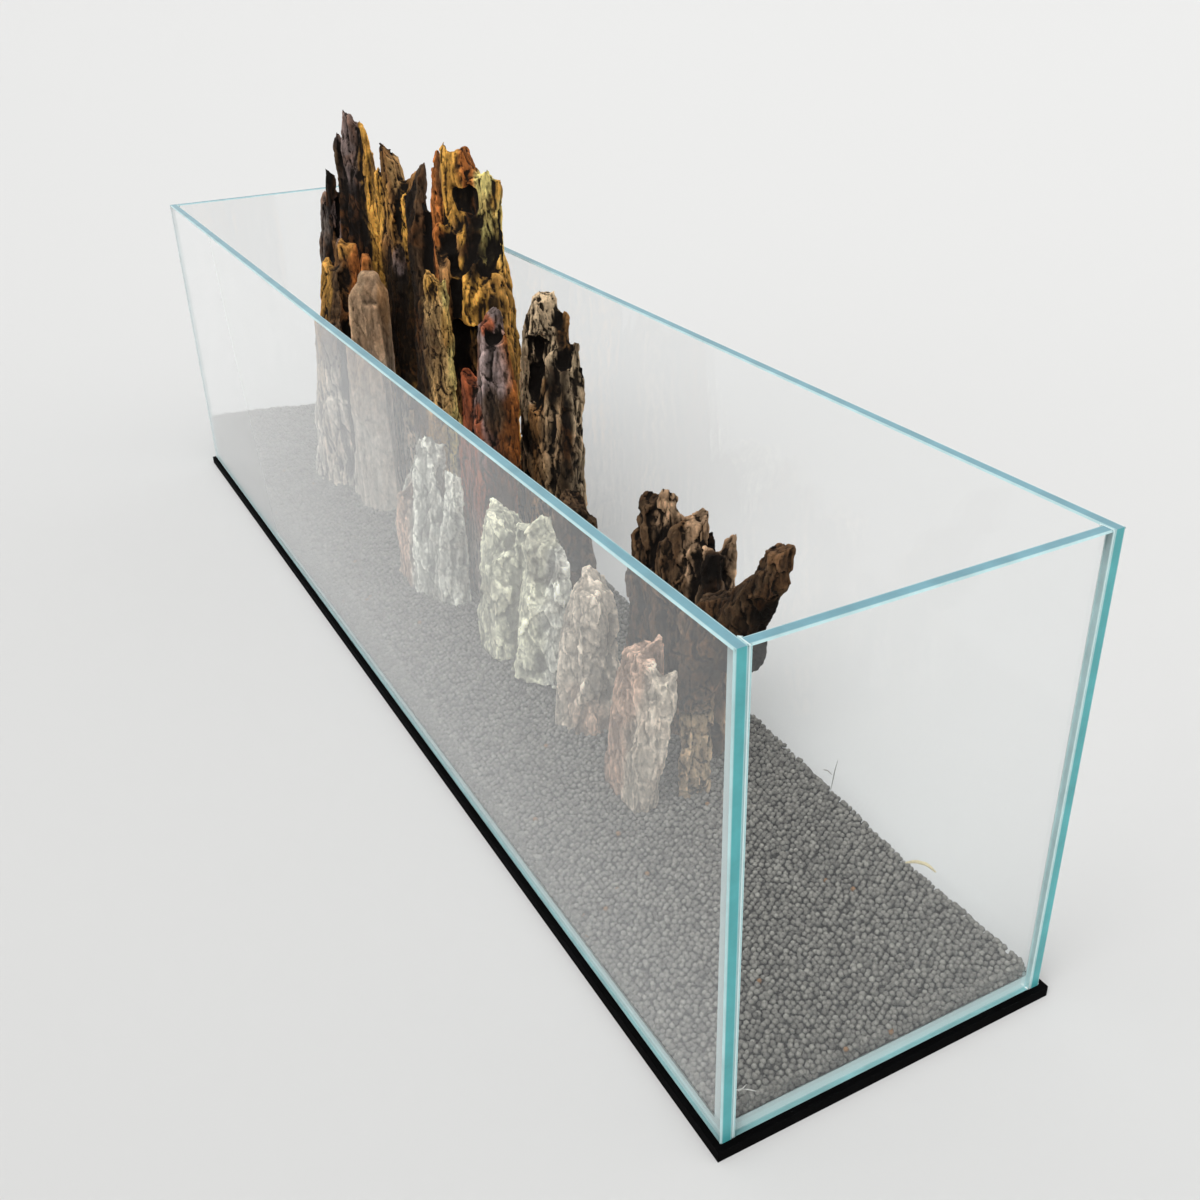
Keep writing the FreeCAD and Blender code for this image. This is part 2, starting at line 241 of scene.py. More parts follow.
def makeStudio():
    view = bpy.data.cameras.new("view")
    view.lens = studio["lens"]
    view.sensor_width = studio["film"]
    camera = newObject("view", view)
    turn = Matrix([studio["right"], studio["up"], studio["back"]]).transposed().to_4x4()
    camera.matrix_world = Matrix.Translation(studio["cameraPlace"]) @ turn
    bpy.context.scene.camera = camera

    half = studio["floorHalf"]
    square = np.array([(-half, -half, 0), (half, -half, 0), (half, half, 0), (-half, half, 0)])
    floor = newPiece("studio_floor", square, np.array([[0, 1, 2, 3]]))
    material, tree = newMaterial("studioFloor")
    inputs = {"Color": studio["floorColour"], "Roughness": 1.0}
    finishMaterial(tree, addNode(tree, "ShaderNodeBsdfDiffuse", inputs).outputs[0])
    dress(floor, material)

    world = bpy.data.worlds.new("studio")
    world.use_nodes = True
    sky = world.node_tree.nodes["Background"]
    sky.inputs["Color"].default_value = (1, 1, 1, 1)
    sky.inputs["Strength"].default_value = studio["skyStrength"]
    bpy.context.scene.world = world

    lamp = bpy.data.lights.new("key", "SUN")
    lamp.energy = studio["keyStrength"]
    lamp.angle = math.radians(studio["keySpread"])
    key = newObject("key", lamp)
    key.rotation_euler = Vector(studio["keyFrom"]).to_track_quat("Z", "Y").to_euler()

    scene = bpy.context.scene
    scene.view_settings.view_transform = "Standard"
    scene.cycles.max_bounces = studio["bounces"]
    scene.cycles.transmission_bounces = studio["bounces"]
    scene.cycles.glossy_bounces = studio["glossyBounces"]
    scene.cycles.transparent_max_bounces = studio["bounces"]


makeStudio()
print("camera, floor and lights made")


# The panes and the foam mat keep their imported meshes.
tank = {
    "glassIndex": 1.5,
    "backIndex": 1.2,                       # back pane, lower to quieten its reflections
    "glassDensity": 1.6,
    "glassTint": (0.15, 0.72, 0.76, 1),
    "veil": 0.95,                           # sheen of the milky film on the front pane
    "dustRoughness": 0.3,
    "siliconeColour": (0.78, 0.93, 0.93, 1),
    "siliconeCover": 0.92,
    "seamGap": 0.06,                        # mm between a seam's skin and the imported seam
    "matColour": (0.0016, 0.0016, 0.0018, 1),
    "edgeMiddle": (0.085, 0.42, 0.44, 1),   # ground edge of a pane
    "rimMiddle": (0.16, 0.36, 0.43, 1),     # the same along the rim
    # pale colour painted on the bevels as a highlight, and on glued edges as painted light
    "edgeBevel": (0.52, 0.74, 0.75, 1),     # and their two bevels
    "bevel": 0.6,                           # mm
    "film": 0.03,                           # how far an edge's skin stands off the pane, mm
    "crown": 1.3,                           # how much further its middle stands off
}


# Glass that tints what is seen through it, and lets light pass straight on to shadows.
def glassMaterial(name, index, veil):
    material, tree = newMaterial(name)
    inputs = {"Base Color": (1, 1, 1, 1), "IOR": index, "Roughness": 0.0, "Transmission Weight": 1.0}
    inputs.update({"Sheen Weight": veil, "Sheen Roughness": tank["dustRoughness"]})
    body = addNode(tree, "ShaderNodeBsdfPrincipled", inputs).outputs[0]
    through = addNode(tree, "ShaderNodeBsdfTransparent").outputs[0]
    shadow = addNode(tree, "ShaderNodeLightPath").outputs["Is Shadow Ray"]
    surface = addNode(tree, "ShaderNodeMixShader", {0: shadow, 1: body, 2: through}).outputs[0]
    inputs = {"Color": tank["glassTint"], "Density": tank["glassDensity"]}
    volume = addNode(tree, "ShaderNodeVolumeAbsorption", inputs).outputs[0]
    finishMaterial(tree, surface, volume)
    return material


def siliconeMaterial():
    material, tree = newMaterial("clearSilicone")
    inputs = {"Base Color": tank["siliconeColour"], "Roughness": 0.22, "Alpha": tank["siliconeCover"]}
    finishMaterial(tree, addNode(tree, "ShaderNodeBsdfPrincipled", inputs).outputs[0])
    return material


def foamMaterial():
    material, tree = newMaterial("blackFoam")
    pores = noiseOf(tree, 900, detail=2)
    broad = remap(tree, noiseOf(tree, 30), 0.3, 0.7, 0.6, 1.5)
    colour = mixColours(tree, 1.0, tank["matColour"], broad, "MULTIPLY")
    inputs = {"Base Color": colour, "Roughness": 0.9, "Normal": bumpOf(tree, pores, 0.4, 0.0004)}
    inputs["Specular IOR Level"] = 0.05
    finishMaterial(tree, addNode(tree, "ShaderNodeBsdfPrincipled", inputs).outputs[0])
    return material


def edgeMaterial():
    material, tree = newMaterial("groundEdge")
    bevel = addNode(tree, "ShaderNodeAttribute", attribute_name="bevel").outputs["Fac"]
    rim = addNode(tree, "ShaderNodeAttribute", attribute_name="rim").outputs["Fac"]
    colour = mixColours(tree, rim, tank["edgeMiddle"], tank["rimMiddle"])
    # The pale bevel colour is a painted highlight on the polished bevels.
    colour = mixColours(tree, bevel, colour, tank["edgeBevel"])
    streak = remap(tree, noiseOf(tree, 60, 4, 0.6), 0.3, 0.7, 0.86, 1.12)
    colour = mixColours(tree, 1.0, colour, streak, "MULTIPLY")
    inputs = {"Base Color": colour, "Roughness": 0.25, "Specular IOR Level": 0.5}
    inputs["Normal"] = bumpOf(tree, noiseOf(tree, 1800, 2), 0.08, 0.0003)
    finishMaterial(tree, addNode(tree, "ShaderNodeBsdfPrincipled", inputs).outputs[0])
    return material


# The ground edge of a pane: a thin skin over the edge and its two bevels. Its profile runs
# from side to side a hair inside the pane, then back outside it: up one bevel, across the
# edge and down the other. It is carried straight from one end of the edge to the other. The
# third number of each profile point is how much it has of the bevel's pale painted highlight.
def edgeSkin(start, end, outward, thickness):
    along = (end - start) / np.linalg.norm(end - start)
    across = np.cross(along, outward)
    bevel, film, half = tank["bevel"] * mm, tank["film"] * mm, thickness / 2
    crown = film * tank["crown"]
    profile = np.array([
        (-half + film, -bevel, 1.0), (-half + bevel, -film, 0.5),
        (half - bevel, -film, 0.5), (half - film, -bevel, 1.0),
        (half + film, -bevel, 1.0), (half - bevel, film, 0.9), (half - 2 * bevel, crown, 0.0),
        (-half + 2 * bevel, crown, 0.0), (-half + bevel, film, 0.9), (-half - film, -bevel, 1.0)])
    ring = profile[:, :1] * across + profile[:, 1:2] * outward
    count = len(profile)
    k = np.arange(count)
    following = (k + 1) % count
    sides = np.stack([k, k + count, following + count, following], axis=1)
    fan = np.stack([k[1:-1] * 0, k[1:-1], k[2:]], axis=1)
    return np.concatenate([start + ring, end + ring]), sides, fan, np.tile(profile[:, 2], 2)


# A skin along each of a pane's four edges. An edge that is glued to another pane, at the
# front and back of an end pane, is as pale as a bevel all over: painted light, for the brightness seen
# through the pane into that edge.
def makeEdges(material):
    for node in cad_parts:
        if not node.endswith("_pane"):
            continue
        low, high = (np.array(corner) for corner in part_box(node))
        thin = int(np.argmin(high - low))
        points, faces, bevels, rims = [], [], [], []
        for axis in {0, 1, 2} - {thin}:
            run = ({0, 1, 2} - {thin, axis}).pop()
            glued = node in ("left_pane", "right_pane") and axis == 1
            for side in (low, high):
                outward = np.zeros(3)
                outward[axis] = 1.0 if side is high else -1.0
                start, end = (low + high) / 2, (low + high) / 2
                start[axis] = end[axis] = side[axis]
                start[run], end[run] = low[run], high[run]
                skin, sides, cap, bevel = edgeSkin(start, end, outward, (high - low)[thin])
                offset = len(skin) * len(points)
                faces += [sides + offset, cap + offset, cap[:, ::-1] + offset + len(skin) // 2]
                points.append(skin)
                bevels.append(np.maximum(bevel, 1.0 if glued else 0.0))
                rims.append(np.full(len(skin), 1.0 if axis == 2 and side is high else 0.0))
        edges = newPiece(node + "_edges", np.concatenate(points), *faces, smooth=False)
        writeValues(edges.data, "bevel", np.concatenate(bevels))
        writeValues(edges.data, "rim", np.concatenate(rims))
        dress(edges, material)
        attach(edges, "tank")


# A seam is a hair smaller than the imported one, so its skin lies clear of the panes' faces:
# each point moves inwards along the mean of the normals of the faces that it joins.
def makeSeam(node, material):
    points, triangles = mergedMesh(node)
    one, two, three = (points[triangles[:, k]] for k in range(3))
    normals = np.cross(two - one, three - one)
    normals /= np.linalg.norm(normals, axis=1, keepdims=True)
    mean = np.zeros_like(points)
    np.add.at(mean, triangles.ravel(), np.repeat(normals, 3, axis=0))
    mean /= np.linalg.norm(mean, axis=1, keepdims=True)
    seam = newPiece(node + "_bead", points - mean * tank["seamGap"] * mm, triangles, smooth=False)
    dress(seam, material)
    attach(seam, "tank")
    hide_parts(node)


def dressTank():
    glass, silicone = glassMaterial("clearGlass", tank["glassIndex"], 0.0), siliconeMaterial()
    special = {"front_pane": glassMaterial("dustyGlass", tank["glassIndex"], tank["veil"]),
               "back_pane": glassMaterial("quietGlass", tank["backIndex"], 0.0)}
    for node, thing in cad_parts.items():
        if node.endswith("_pane"):
            dress(thing, special.get(node, glass))
        elif node.endswith("_seam"):
            makeSeam(node, silicone)
    dress(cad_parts["leveling_mat"], foamMaterial())
    makeEdges(edgeMaterial())


dressTank()
print("glass, silicone and mat dressed")


# Layered stones. Each keeps its imported solid as its core, and upright shards grow round it.
# The tints are linear colours. A shard is: foot X, Y, Z, top X, Y, Z, half width, half depth,
# turn in degrees, width of its tip as a share, and tint. Millimetres from the middle of the
# stone's foot.
# The black tint, on shards, stains and cores, is painted shadow in deep clefts and under overhangs, as well
# as dark dirt.
tints = {
    "plum": (0.21, 0.155, 0.14), "mauve": (0.36, 0.27, 0.25), "gold": (0.66, 0.34, 0.065),
    "ochre": (0.47, 0.24, 0.055), "rust": (0.34, 0.11, 0.025), "red": (0.37, 0.095, 0.035),
    "brown": (0.26, 0.13, 0.045), "umber": (0.085, 0.05, 0.026), "black": (0.004, 0.0025, 0.0015),
    "slate": (0.16, 0.13, 0.11), "green": (0.56, 0.46, 0.16), "clay": (0.4, 0.26, 0.155),
    "tan": (0.52, 0.32, 0.13), "ash": (0.5, 0.37, 0.23), "white": (0.66, 0.66, 0.58),
    "peach": (0.56, 0.38, 0.28), "lime": (0.74, 0.73, 0.56), "cream": (0.6, 0.52, 0.42),
    # the colour of the painted veil at a stone's foot
    "veil": (0.7, 0.66, 0.58),
}
shards = {
    "spire": [
        (29, -6, 0, 32, 0, 296, 15, 15, 62, 0.55, "plum"),
        (48, 7, 0, 46, 4, 287, 8, 11, 72, 0.55, "gold"),
        (10, -11, 0, 14, -5, 276, 9, 13, 52, 0.55, "umber"),
        (-20, -11, 0, -16, -9, 248, 11, 15, 62, 0.55, "black"),
        (-43, -11, 0, -40, -9, 226, 11, 18, 72, 0.55, "slate"),
        (34, 0, 0, 39, 9, 266, 10, 13, 62, 0.55, "ochre"),
        (4, -6, 0, 10, 6, 250, 23, 22, 62, 0.55, "black")],
    "column": [
        (-7, -6, 0, -5, -1, 280, 14, 14, 62, 0.75, "brown"),
        (-18, -10, 0, -20, -8, 262, 8, 13, 62, 0.55, "gold"),
        (4, -1, 0, 10, 10, 262, 12, 14, 62, 0.60, "brown"),
        (8, -4, 0, 10, 0, 247, 8, 12, 62, 0.60, "gold"),
        (-15, -4, 0, -11, 4, 250, 17, 15, 62, 0.55, "black")],
    "golden": [
        (-49, -19, 0, -45, -10, 275, 11, 18, 62, 0.60, "umber"),
        (-55, -19, 0, -52, -14, 259, 11, 18, 62, 0.70, "black"),
        (-26, -11, 0, -23, -6, 283, 9, 15, 62, 0.55, "rust"),
        (-4, -7, 0, -2, -4, 292, 9, 15, 67, 0.55, "gold"),
        (9, 6, 259, 7, 3, 288, 8, 13, 77, 0.55, "rust"),
        (-12, 5, 0, -8, 13, 271, 18, 24, 62, 0.60, "black"),
        (22, 9, 0, 22, 10, 275, 12, 15, 57, 0.55, "green"),
        (37, 20, 0, 33, 14, 270, 8, 14, 62, 0.55, "gold"),
        (29, -6, 173, 29, -7, 218, 13, 18, 62, 0.60, "gold"),
        (0, -16, 0, 5, -5, 238, 12, 18, 62, 0.55, "brown"),
        (41, 7, 0, 40, 5, 214, 16, 15, 62, 0.60, "ochre")],
    "leaning": [
        (21, 12, 0, 22, 16, 208, 10, 13, 52, 0.60, "brown"),
        (26, 12, 0, 26, 24, 206, 11, 13, 52, 0.60, "rust"),
        (45, 12, 0, 46, 27, 199, 11, 13, 52, 0.60, "brown"),
        (44, 12, 0, 46, 28, 187, 11, 13, 52, 0.60, "umber"),
        (7, -1, 0, 11, 6, 192, 12, 14, 62, 0.55, "ochre")],
    "oval": [
        (-2, -2, 0, 1, 3, 185, 19.5, 12, 62, 0.85, "clay"),
        (-1, 0, 120, 1, 3, 192, 13, 9, 62, 0.75, "clay")],
    "tan": [
        (2, -4, 0, 4, -2, 220, 13, 12, 62, 0.60, "tan"),
        (8, 4, 0, 9, 5, 215, 6, 10, 62, 0.55, "green"),
        (4, -4, 0, 8, 2, 183, 11, 12, 62, 0.55, "tan"),
        (-6, -4, 0, -4, -4, 201, 12, 13, 62, 0.60, "black")],
    "purple": [
        (-5, -3, 0, -2, 3, 205, 16, 13, 62, 0.55, "plum"),
        (1, -7, 0, 5, -5, 197, 6, 9, 62, 0.55, "mauve"),
        (-18, -7, 0, -17, -8, 164, 12, 14, 62, 0.70, "red"),
        (10, 7, 0, 11, 8, 195, 9, 13, 62, 0.55, "rust")],
    "medium": [
        (-6, -7, 0, -1, 4, 217, 11, 14, 62, 0.55, "ash"),
        (-3, -9, 184, -1, -5, 214, 9, 13, 62, 0.55, "ash"),
        (-21, -10, 0, -12, -10, 195, 9, 14, 62, 0.55, "ash"),
        (6, -8, 0, 9, -3, 182, 11, 14, 62, 0.55, "ash"),
        (7, 7, 0, 9, 9, 205, 9, 13, 62, 0.55, "brown"),
        (16, 8, 0, 18, 11, 187, 8, 13, 62, 0.55, "ash"),
        (-14, -1, 0, -10, 7, 193, 25, 15, 62, 0.60, "black")],
    "small": [
        (0, -6, 0, 2, -2, 111, 14, 13, 62, 0.70, "umber"),
        (9, 6, 0, 9, 7, 96, 9, 12, 62, 0.60, "umber")],
    "low": [
        (-25, -11, 0, -21, -9, 144, 11, 13, 62, 0.55, "umber"),
        (-8, 1, 0, -10, -2, 149, 12, 13, 62, 0.55, "clay"),
        (-22, -6, 0, -25, -12, 122, 14, 14, 62, 0.60, "umber"),
        (19, 3, 0, 18, 0, 146, 13, 14, 62, 0.60, "clay"),
        (5, -11, 0, 8, -7, 138, 11, 14, 62, 0.60, "umber"),
        (33, 11, 0, 33, 12, 136, 10, 13, 62, 0.60, "clay"),
        (3, 6, 0, 2, 3, 127, 31, 15, 62, 0.70, "black")],
    "hook": [
        (-26, 4, 0, -20, 5, 120, 11, 10, 62, 0.80, "ash"),
        (-24, 2, 60, -2, 0, 142, 15, 12, 62, 0.80, "umber"),
        (-2, -2, 108, 32, 8, 172, 11, 11, 62, 0.80, "umber"),
        (29, 5, 150, 36, 9, 182, 11, 11, 62, 0.95, "umber"),
        (8, 4, 100, 33, 9, 160, 10, 10, 62, 0.70, "black")],
    "front": [
        (15, -1, 0, 19, 8, 122, 20, 14, 62, 0.55, "white"),
        (-11, -7, 0, -10, -5, 81, 15, 14, 62, 0.55, "peach"),
        (42, 8, 0, 44, 12, 105, 16, 14, 62, 0.55, "white")],
    "pale": [
        (-9, -4, 0, -5, 4, 105, 24, 14, 62, 0.70, "lime"),
        (31, 2, 0, 36, 12, 112, 23, 14, 62, 0.70, "lime"),
        (43, 11, 0, 49, 14, 97, 14, 14, 62, 0.70, "white")],
    "pink": [
        (3, 6, 0, 7, 14, 110, 24, 14, 62, 0.60, "cream"),
        (-4, 11, 0, -6, 7, 46, 14, 13, 62, 0.55, "peach")],
    "blade": [
        (-4, -8, 0, 9, 9, 106, 17, 10, 62, 0.55, "peach"),
        (14, -8, 0, 26, 8, 93, 14, 10, 62, 0.60, "cream")],
}
# Stains and painted shadows: X, Y, Z of the middle, half width, half height, tint and strength.
# They reach right through the stone from front to back. The black ones paint the shadow under overhangs and
# in deep clefts, as well as dark dirt.
stainsAndShadows = {
    "spire": [
        (11, 2, 210, 20, 50, "black", 0.97),
        (15, 11, 192, 10, 26, "black", 0.97),
        (4, -10, 240, 5, 22, "black", 0.80),
        (-3, -24, 204, 5, 19, "slate", 0.80),
        (11, 3, 281, 7, 22, "plum", 0.50),
        (3, -12, 208, 5, 19, "mauve", 0.70),
        (17, 16, 256, 4, 18, "ochre", 0.80)],
    "column": [
        (5, -6, 150, 20, 75, "black", 0.97),
        (2, -13, 240, 4, 24, "ochre", 0.80),
        (7, -3, 262, 7, 20, "tan", 0.60),
        (3, -11, 210, 10, 17, "brown", 0.70),
        (6, -7, 196, 6, 12, "plum", 0.80),
        (16, 14, 219, 8, 17, "slate", 0.60),
        (10, 2, 223, 4, 20, "gold", 0.60)],
    "golden": [
        (11, 3, 229, 9, 30, "black", 0.97),
        (1, -16, 152, 11, 33, "black", 0.93),
        (8, -3, 250, 4, 28, "gold", 0.80),
        (6, -6, 286, 6, 14, "gold", 0.70),
        (10, 2, 274, 7, 12, "rust", 0.60),
        (16, 13, 265, 7, 12, "green", 0.80),
        (21, 23, 234, 7, 25, "green", 0.70),
        (18, 17, 190, 6, 7, "black", 0.95),
        (22, 24, 203, 6, 29, "ochre", 0.60),
        (7, -3, 198, 6, 19, "gold", 0.70),
        (1, -16, 266, 4, 19, "umber", 0.70),
        (-4, -25, 211, 6, 16, "black", 0.80)],
    "leaning": [
        (20, 20, 200, 12, 9, "ochre", 0.80),
        (26, 32, 193, 12, 12, "rust", 0.80),
        (12, 5, 169, 6, 14, "gold", 0.60),
        (17, 15, 179, 5, 14, "umber", 0.80),
        (30, 41, 182, 5, 14, "brown", 0.60)],
    "purple": [
        (9, -1, 173, 10, 26, "mauve", 0.60),
        (7, -3, 197, 5, 6, "red", 0.90),
        (0, -17, 159, 7, 10, "red", 0.80),
        (3, -12, 176, 4, 17, "rust", 0.70),
        (8, -3, 143, 9, 18, "umber", 0.85),
        (15, 11, 185, 4, 17, "gold", 0.40)],
    "tan": [
        (7, -3, 211, 9, 15, "gold", 0.60),
        (11, 4, 180, 4, 18, "ochre", 0.70),
        (5, -7, 168, 8, 19, "umber", 0.80)],
    "medium": [
        (8, -2, 158, 5, 18, "black", 0.97),
        (12, 6, 132, 4, 27, "black", 0.97),
        (0, -18, 117, 5, 11, "black", 0.95),
        (4, -10, 182, 6, 17, "ash", 0.60),
        (11, 4, 193, 4, 17, "black", 0.85)],
    "oval": [
        (14, 9, 169, 5, 21, "brown", 0.70),
        (6, -6, 186, 5, 10, "ash", 0.40)],
}
# Each stone's finish: its material, its core's tint, the voxel of its last skin, a slab's
# width and height, how deep the slabs and the chips are cut, how far a shard's top slopes as
# a share of its width, how far the stone wavers on its way up, and how far it may stand out
# of its packed box along Y.
lookFields = ("skin", "core", "voxel", "slabWide", "slabHigh", "depth", "chip", "slant", "waver", "spill")
# A black core darkens the clefts between the shards: painted shade there, as well as dark dirt.
stoneLooks = {
    "spire": ("light", "black", 1.23, 14, 70, 3.6, 0.9, 0.9, 5, 0),
    "column": ("light", "black", 1.02, 12, 50, 3.2, 0.9, 0.8, 4, 0),
    "golden": ("light", "black", 1.28, 16, 70, 4.0, 1.0, 0.8, 5, 0),
    "leaning": ("light", "umber", 1.18, 18, 60, 3.0, 0.8, 0.5, 4, 14),
    "oval": ("smooth", "clay", 0.96, 30, 60, 0.9, 0.3, 0.0, 2, 0),
    "tan": ("light", "black", 0.86, 12, 36, 2.6, 0.8, 0.6, 3, 0),
    "purple": ("light", "black", 1.02, 16, 50, 2.6, 0.7, 0.7, 3, 0),
    "medium": ("dark", "black", 1.12, 13, 50, 4.0, 1.1, 0.8, 4, 0),
    "small": ("dark", "black", 0.86, 12, 30, 3.0, 0.9, 0.8, 3, 0),
    "front": ("pale", "white", 1.07, 13, 36, 3.0, 1.0, 0.8, 4, 0),
    "pale": ("pale", "lime", 1.07, 15, 32, 3.5, 1.0, 0.6, 4, 0),
    "pink": ("pale", "cream", 0.96, 13, 34, 3.0, 0.9, 0.8, 4, 0),
    "blade": ("pale", "peach", 0.91, 12, 36, 2.4, 0.8, 0.6, 3, 0),
    "low": ("dark", "black", 1.12, 15, 40, 4.0, 1.1, 0.8, 4, 0),
    "hook": ("dark", "umber", 0.91, 14, 30, 2.2, 0.9, 0.3, 2, 0),
}
bareStones = {"hook"}       # grown from their shards alone, without the imported core
# How high a stone is painted paler towards its foot, and how much the pale covers there.
veilUpTo = {"spire": 120, "leaning": 150, "oval": 145, "column": 100, "golden": 85, "tan": 100,
             "purple": 80}
veilCover = 0.75
shardGrid = {"corners": 7, "perSide": 4, "levels": 5, "up": 44}
growth = {
    "coreShare": (0.84, 0.84, 0.88),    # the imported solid's size inside the stone
    "voxel": 1.4,                       # mm, first two skins
    "facets": 0.035,                    # share of the faces that the broad facets keep
    "sharp": 7,                         # how quickly one shard's tint gives way to the next's
    "coreReach": 1.25,                  # where the core's own tint takes over
    "coreLimit": 12,                    # mm, how thick the core counts as
    "rooted": 30,                       # mm, height from which the stone wavers in full
    "nearSide": np.array([0.89, -0.46]),    # the way that a stone's finer side faces
    "across": np.array([0.47, 0.88]),       # and the way across that side
    "pit": (4.5, 4.5, 10),              # mm, size of a pit
    "grain": (2.2, 2.2, 4.5),           # mm, size of the grit
    "grit": 0.16,                       # mm, depth of the grit
}


# Width of a shard at a share of its height: it narrows to its tip, whose edge is worn.
def shardWidth(share, tip):
    taper = 1 - (1 - tip) * share ** 2.2
    return taper * (1 - 0.4 * np.clip((share - 0.94) / 0.06, 0, 1) ** 2)


# A shard's surface: an upright prism with uneven flat sides. Each level of corners is a
# circle with its angles and reaches drawn at random, the rings between are shares of the
# levels below and above, and every ring has the shard's width at its height. The top is
# cut along a slope, and both ends are closed with a fan.
def shardSurface(shard, slant, seed):
    foot, top = np.array(shard[0:3]), np.array(shard[3:6])
    halfWidth, halfDepth, turn, tip = shard[6:10]
    corners, perSide = shardGrid["corners"], shardGrid["perSide"]
    levels, up = shardGrid["levels"], shardGrid["up"]
    around = corners * perSide
    draw = np.random.default_rng(seed)
    angle = (np.arange(corners) + draw.uniform(-0.33, 0.33, (levels, corners)) * 0.5
             + draw.uniform(-0.3, 0.3, corners)) * 2 * math.pi / corners
    reach = draw.uniform(0.78, 1.16, (levels, corners))
    ring = np.stack([np.cos(angle), np.sin(angle)], axis=-1) * reach[..., None]
    h = np.linspace(0, 1, up)
    level = np.minimum((h * (levels - 1)).astype(int), levels - 2)
    between = (h * (levels - 1) - level)[:, None, None]
    ring = ring[level] * (1 - between) + ring[level + 1] * between
    side = (np.arange(perSide) / perSide)[None, None, :, None]
    ring = ring[:, :, None] * (1 - side) + np.roll(ring, -1, axis=1)[:, :, None] * side
    ring = ring.reshape(up, around, 2)
    width = shardWidth(h, tip)[:, None]
    across, along = halfWidth * width * ring[..., 0], halfDepth * width * ring[..., 1]
    c, s = math.cos(math.radians(turn)), math.sin(math.radians(turn))
    middle = foot + (top - foot) * h[:, None, None]
    points = middle + np.stack([across * c - along * s, across * s + along * c, across * 0], axis=-1)
    toward = draw.uniform(0, 2 * math.pi)
    drop = slant * halfWidth * tip * (1 + ring[..., 0] * math.cos(toward) + ring[..., 1] * math.sin(toward))
    points[..., 2] = np.minimum(points[..., 2], top[2] - drop)
    crown = top - (0, 0, slant * halfWidth * tip)
    points = np.concatenate([points.reshape(-1, 3), foot[None], crown[None]])
    row, column = np.meshgrid(np.arange(up - 1), np.arange(around), indexing="ij")
    nextColumn = (column + 1) % around
    quads = np.stack([row * around + column, row * around + nextColumn,
                      (row + 1) * around + nextColumn, (row + 1) * around + column], axis=-1).reshape(-1, 4)
    k = np.arange(around)
    following = (k + 1) % around
    low = np.stack([following, k, np.full(around, up * around)], axis=1)
    last = (up - 1) * around
    high = np.stack([last + k, last + following, np.full(around, up * around + 1)], axis=1)
    triangles = np.concatenate([quads[:, [0, 1, 2]], quads[:, [0, 2, 3]], low, high])
    return points, triangles


# How far a point is from each shard's middle line, as a share of the shard's half sizes
# there, and how thick the shard is there.
def shardReach(points, shard):
    foot, top = np.array(shard[0:3]), np.array(shard[3:6])
    halfWidth, halfDepth, turn, tip = shard[6:10]
    share = np.clip((points[:, 2] - foot[2]) / (top[2] - foot[2]), 0, 1)
    middle = foot + (top - foot) * share[:, None]
    width = np.maximum(shardWidth(share, tip), 0.2)
    c, s = math.cos(math.radians(turn)), math.sin(math.radians(turn))
    x, y = points[:, 0] - middle[:, 0], points[:, 1] - middle[:, 1]
    across, along = (x * c + y * s) / (halfWidth * width), (y * c - x * s) / (halfDepth * width)
    outside = np.abs(points[:, 2] - np.clip(points[:, 2], foot[2], top[2])) / 6
    return np.hypot(across, along) + outside, min(halfWidth, halfDepth) * width


# The union of everything in a mesh, on a grid of voxels. Where a share of the faces is
# asked for, the skin is then thinned to that share, which leaves broad flat facets.
def remeshed(mesh, voxel, share=1.0):
    rough = newObject("rough", mesh)
    modifier = rough.modifiers.new("grown", "REMESH")
    modifier.mode = "VOXEL"
    modifier.voxel_size = voxel * mm
    modifier.use_smooth_shade = True
    if share < 1:
        modifier = rough.modifiers.new("facets", "DECIMATE")
        modifier.ratio = share
    graph = bpy.context.evaluated_depsgraph_get()
    mesh = bpy.data.meshes.new_from_object(rough.evaluated_get(graph))
    bpy.data.objects.remove(rough)
    return mesh


# The two ends of every edge.
def edgeEnds(mesh):
    edges = np.empty(len(mesh.edges) * 2, np.int64)
    mesh.edges.foreach_get("vertices", edges)
    return edges.reshape(-1, 2).T


# Only the largest connected part is kept: every point takes the lowest number among its
# neighbours until nothing changes, and the commonest number wins.
def largestPart(mesh):
    one, other = edgeEnds(mesh)
    label = np.arange(len(mesh.vertices))
    while True:
        lower = label.copy()
        np.minimum.at(lower, one, label[other])
        np.minimum.at(lower, other, label[one])
        lower = lower[lower]
        if np.array_equal(lower, label):
            break
        label = lower
    kept = label == np.bincount(label).argmax()
    corners = np.empty(len(mesh.loops), np.int64)
    mesh.loops.foreach_get("vertex_index", corners)
    faces = corners.reshape(-1, 4)
    faces = faces[kept[faces[:, 0]]]
    number = np.cumsum(kept) - 1
    return readArray(mesh.vertices, "co")[kept], number[faces]


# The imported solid, shrunk towards its foot.
def coreOf(node, foot):
    points, triangles = mergedMesh(node)
    return (points - foot) * growth["coreShare"] + foot, triangles


# The same shards again on the far side: each is mirrored across the stone's upright middle
# plane and a little beyond, kept inside the stone, and lowered by its own share.
def farShards(rows, half, seed):
    draw = np.random.default_rng(seed + 500)
    nearSide, beyond, margin = growth["nearSide"], 4, 6
    far = []
    for row in rows:
        ends = np.array([row[0:2], row[3:5]], float)
        ends -= (2 * (ends @ nearSide)[:, None] + beyond) * nearSide
        foot, top = np.clip(ends, -half + margin, half - margin)
        rise = row[2] + (row[5] - row[2]) * draw.uniform(0.74, 0.95)
        turn = row[8] + draw.uniform(-20, 20)
        # The near side's black, painted shadow as well as dirt, becomes brown on the far copies.
        tint = "brown" if row[10] == "black" else row[10]
        far.append((*foot, row[2], *top, rise, *row[6:8], turn, row[9], tint))
    return far


# Mean of each point's neighbours along the edges.
def neighbourMean(values, one, other, degree):
    count = len(values)
    total = [np.bincount(one, values[other, k], count) + np.bincount(other, values[one, k], count)
             for k in range(3)]
    return np.stack(total, axis=1) / degree[:, None]


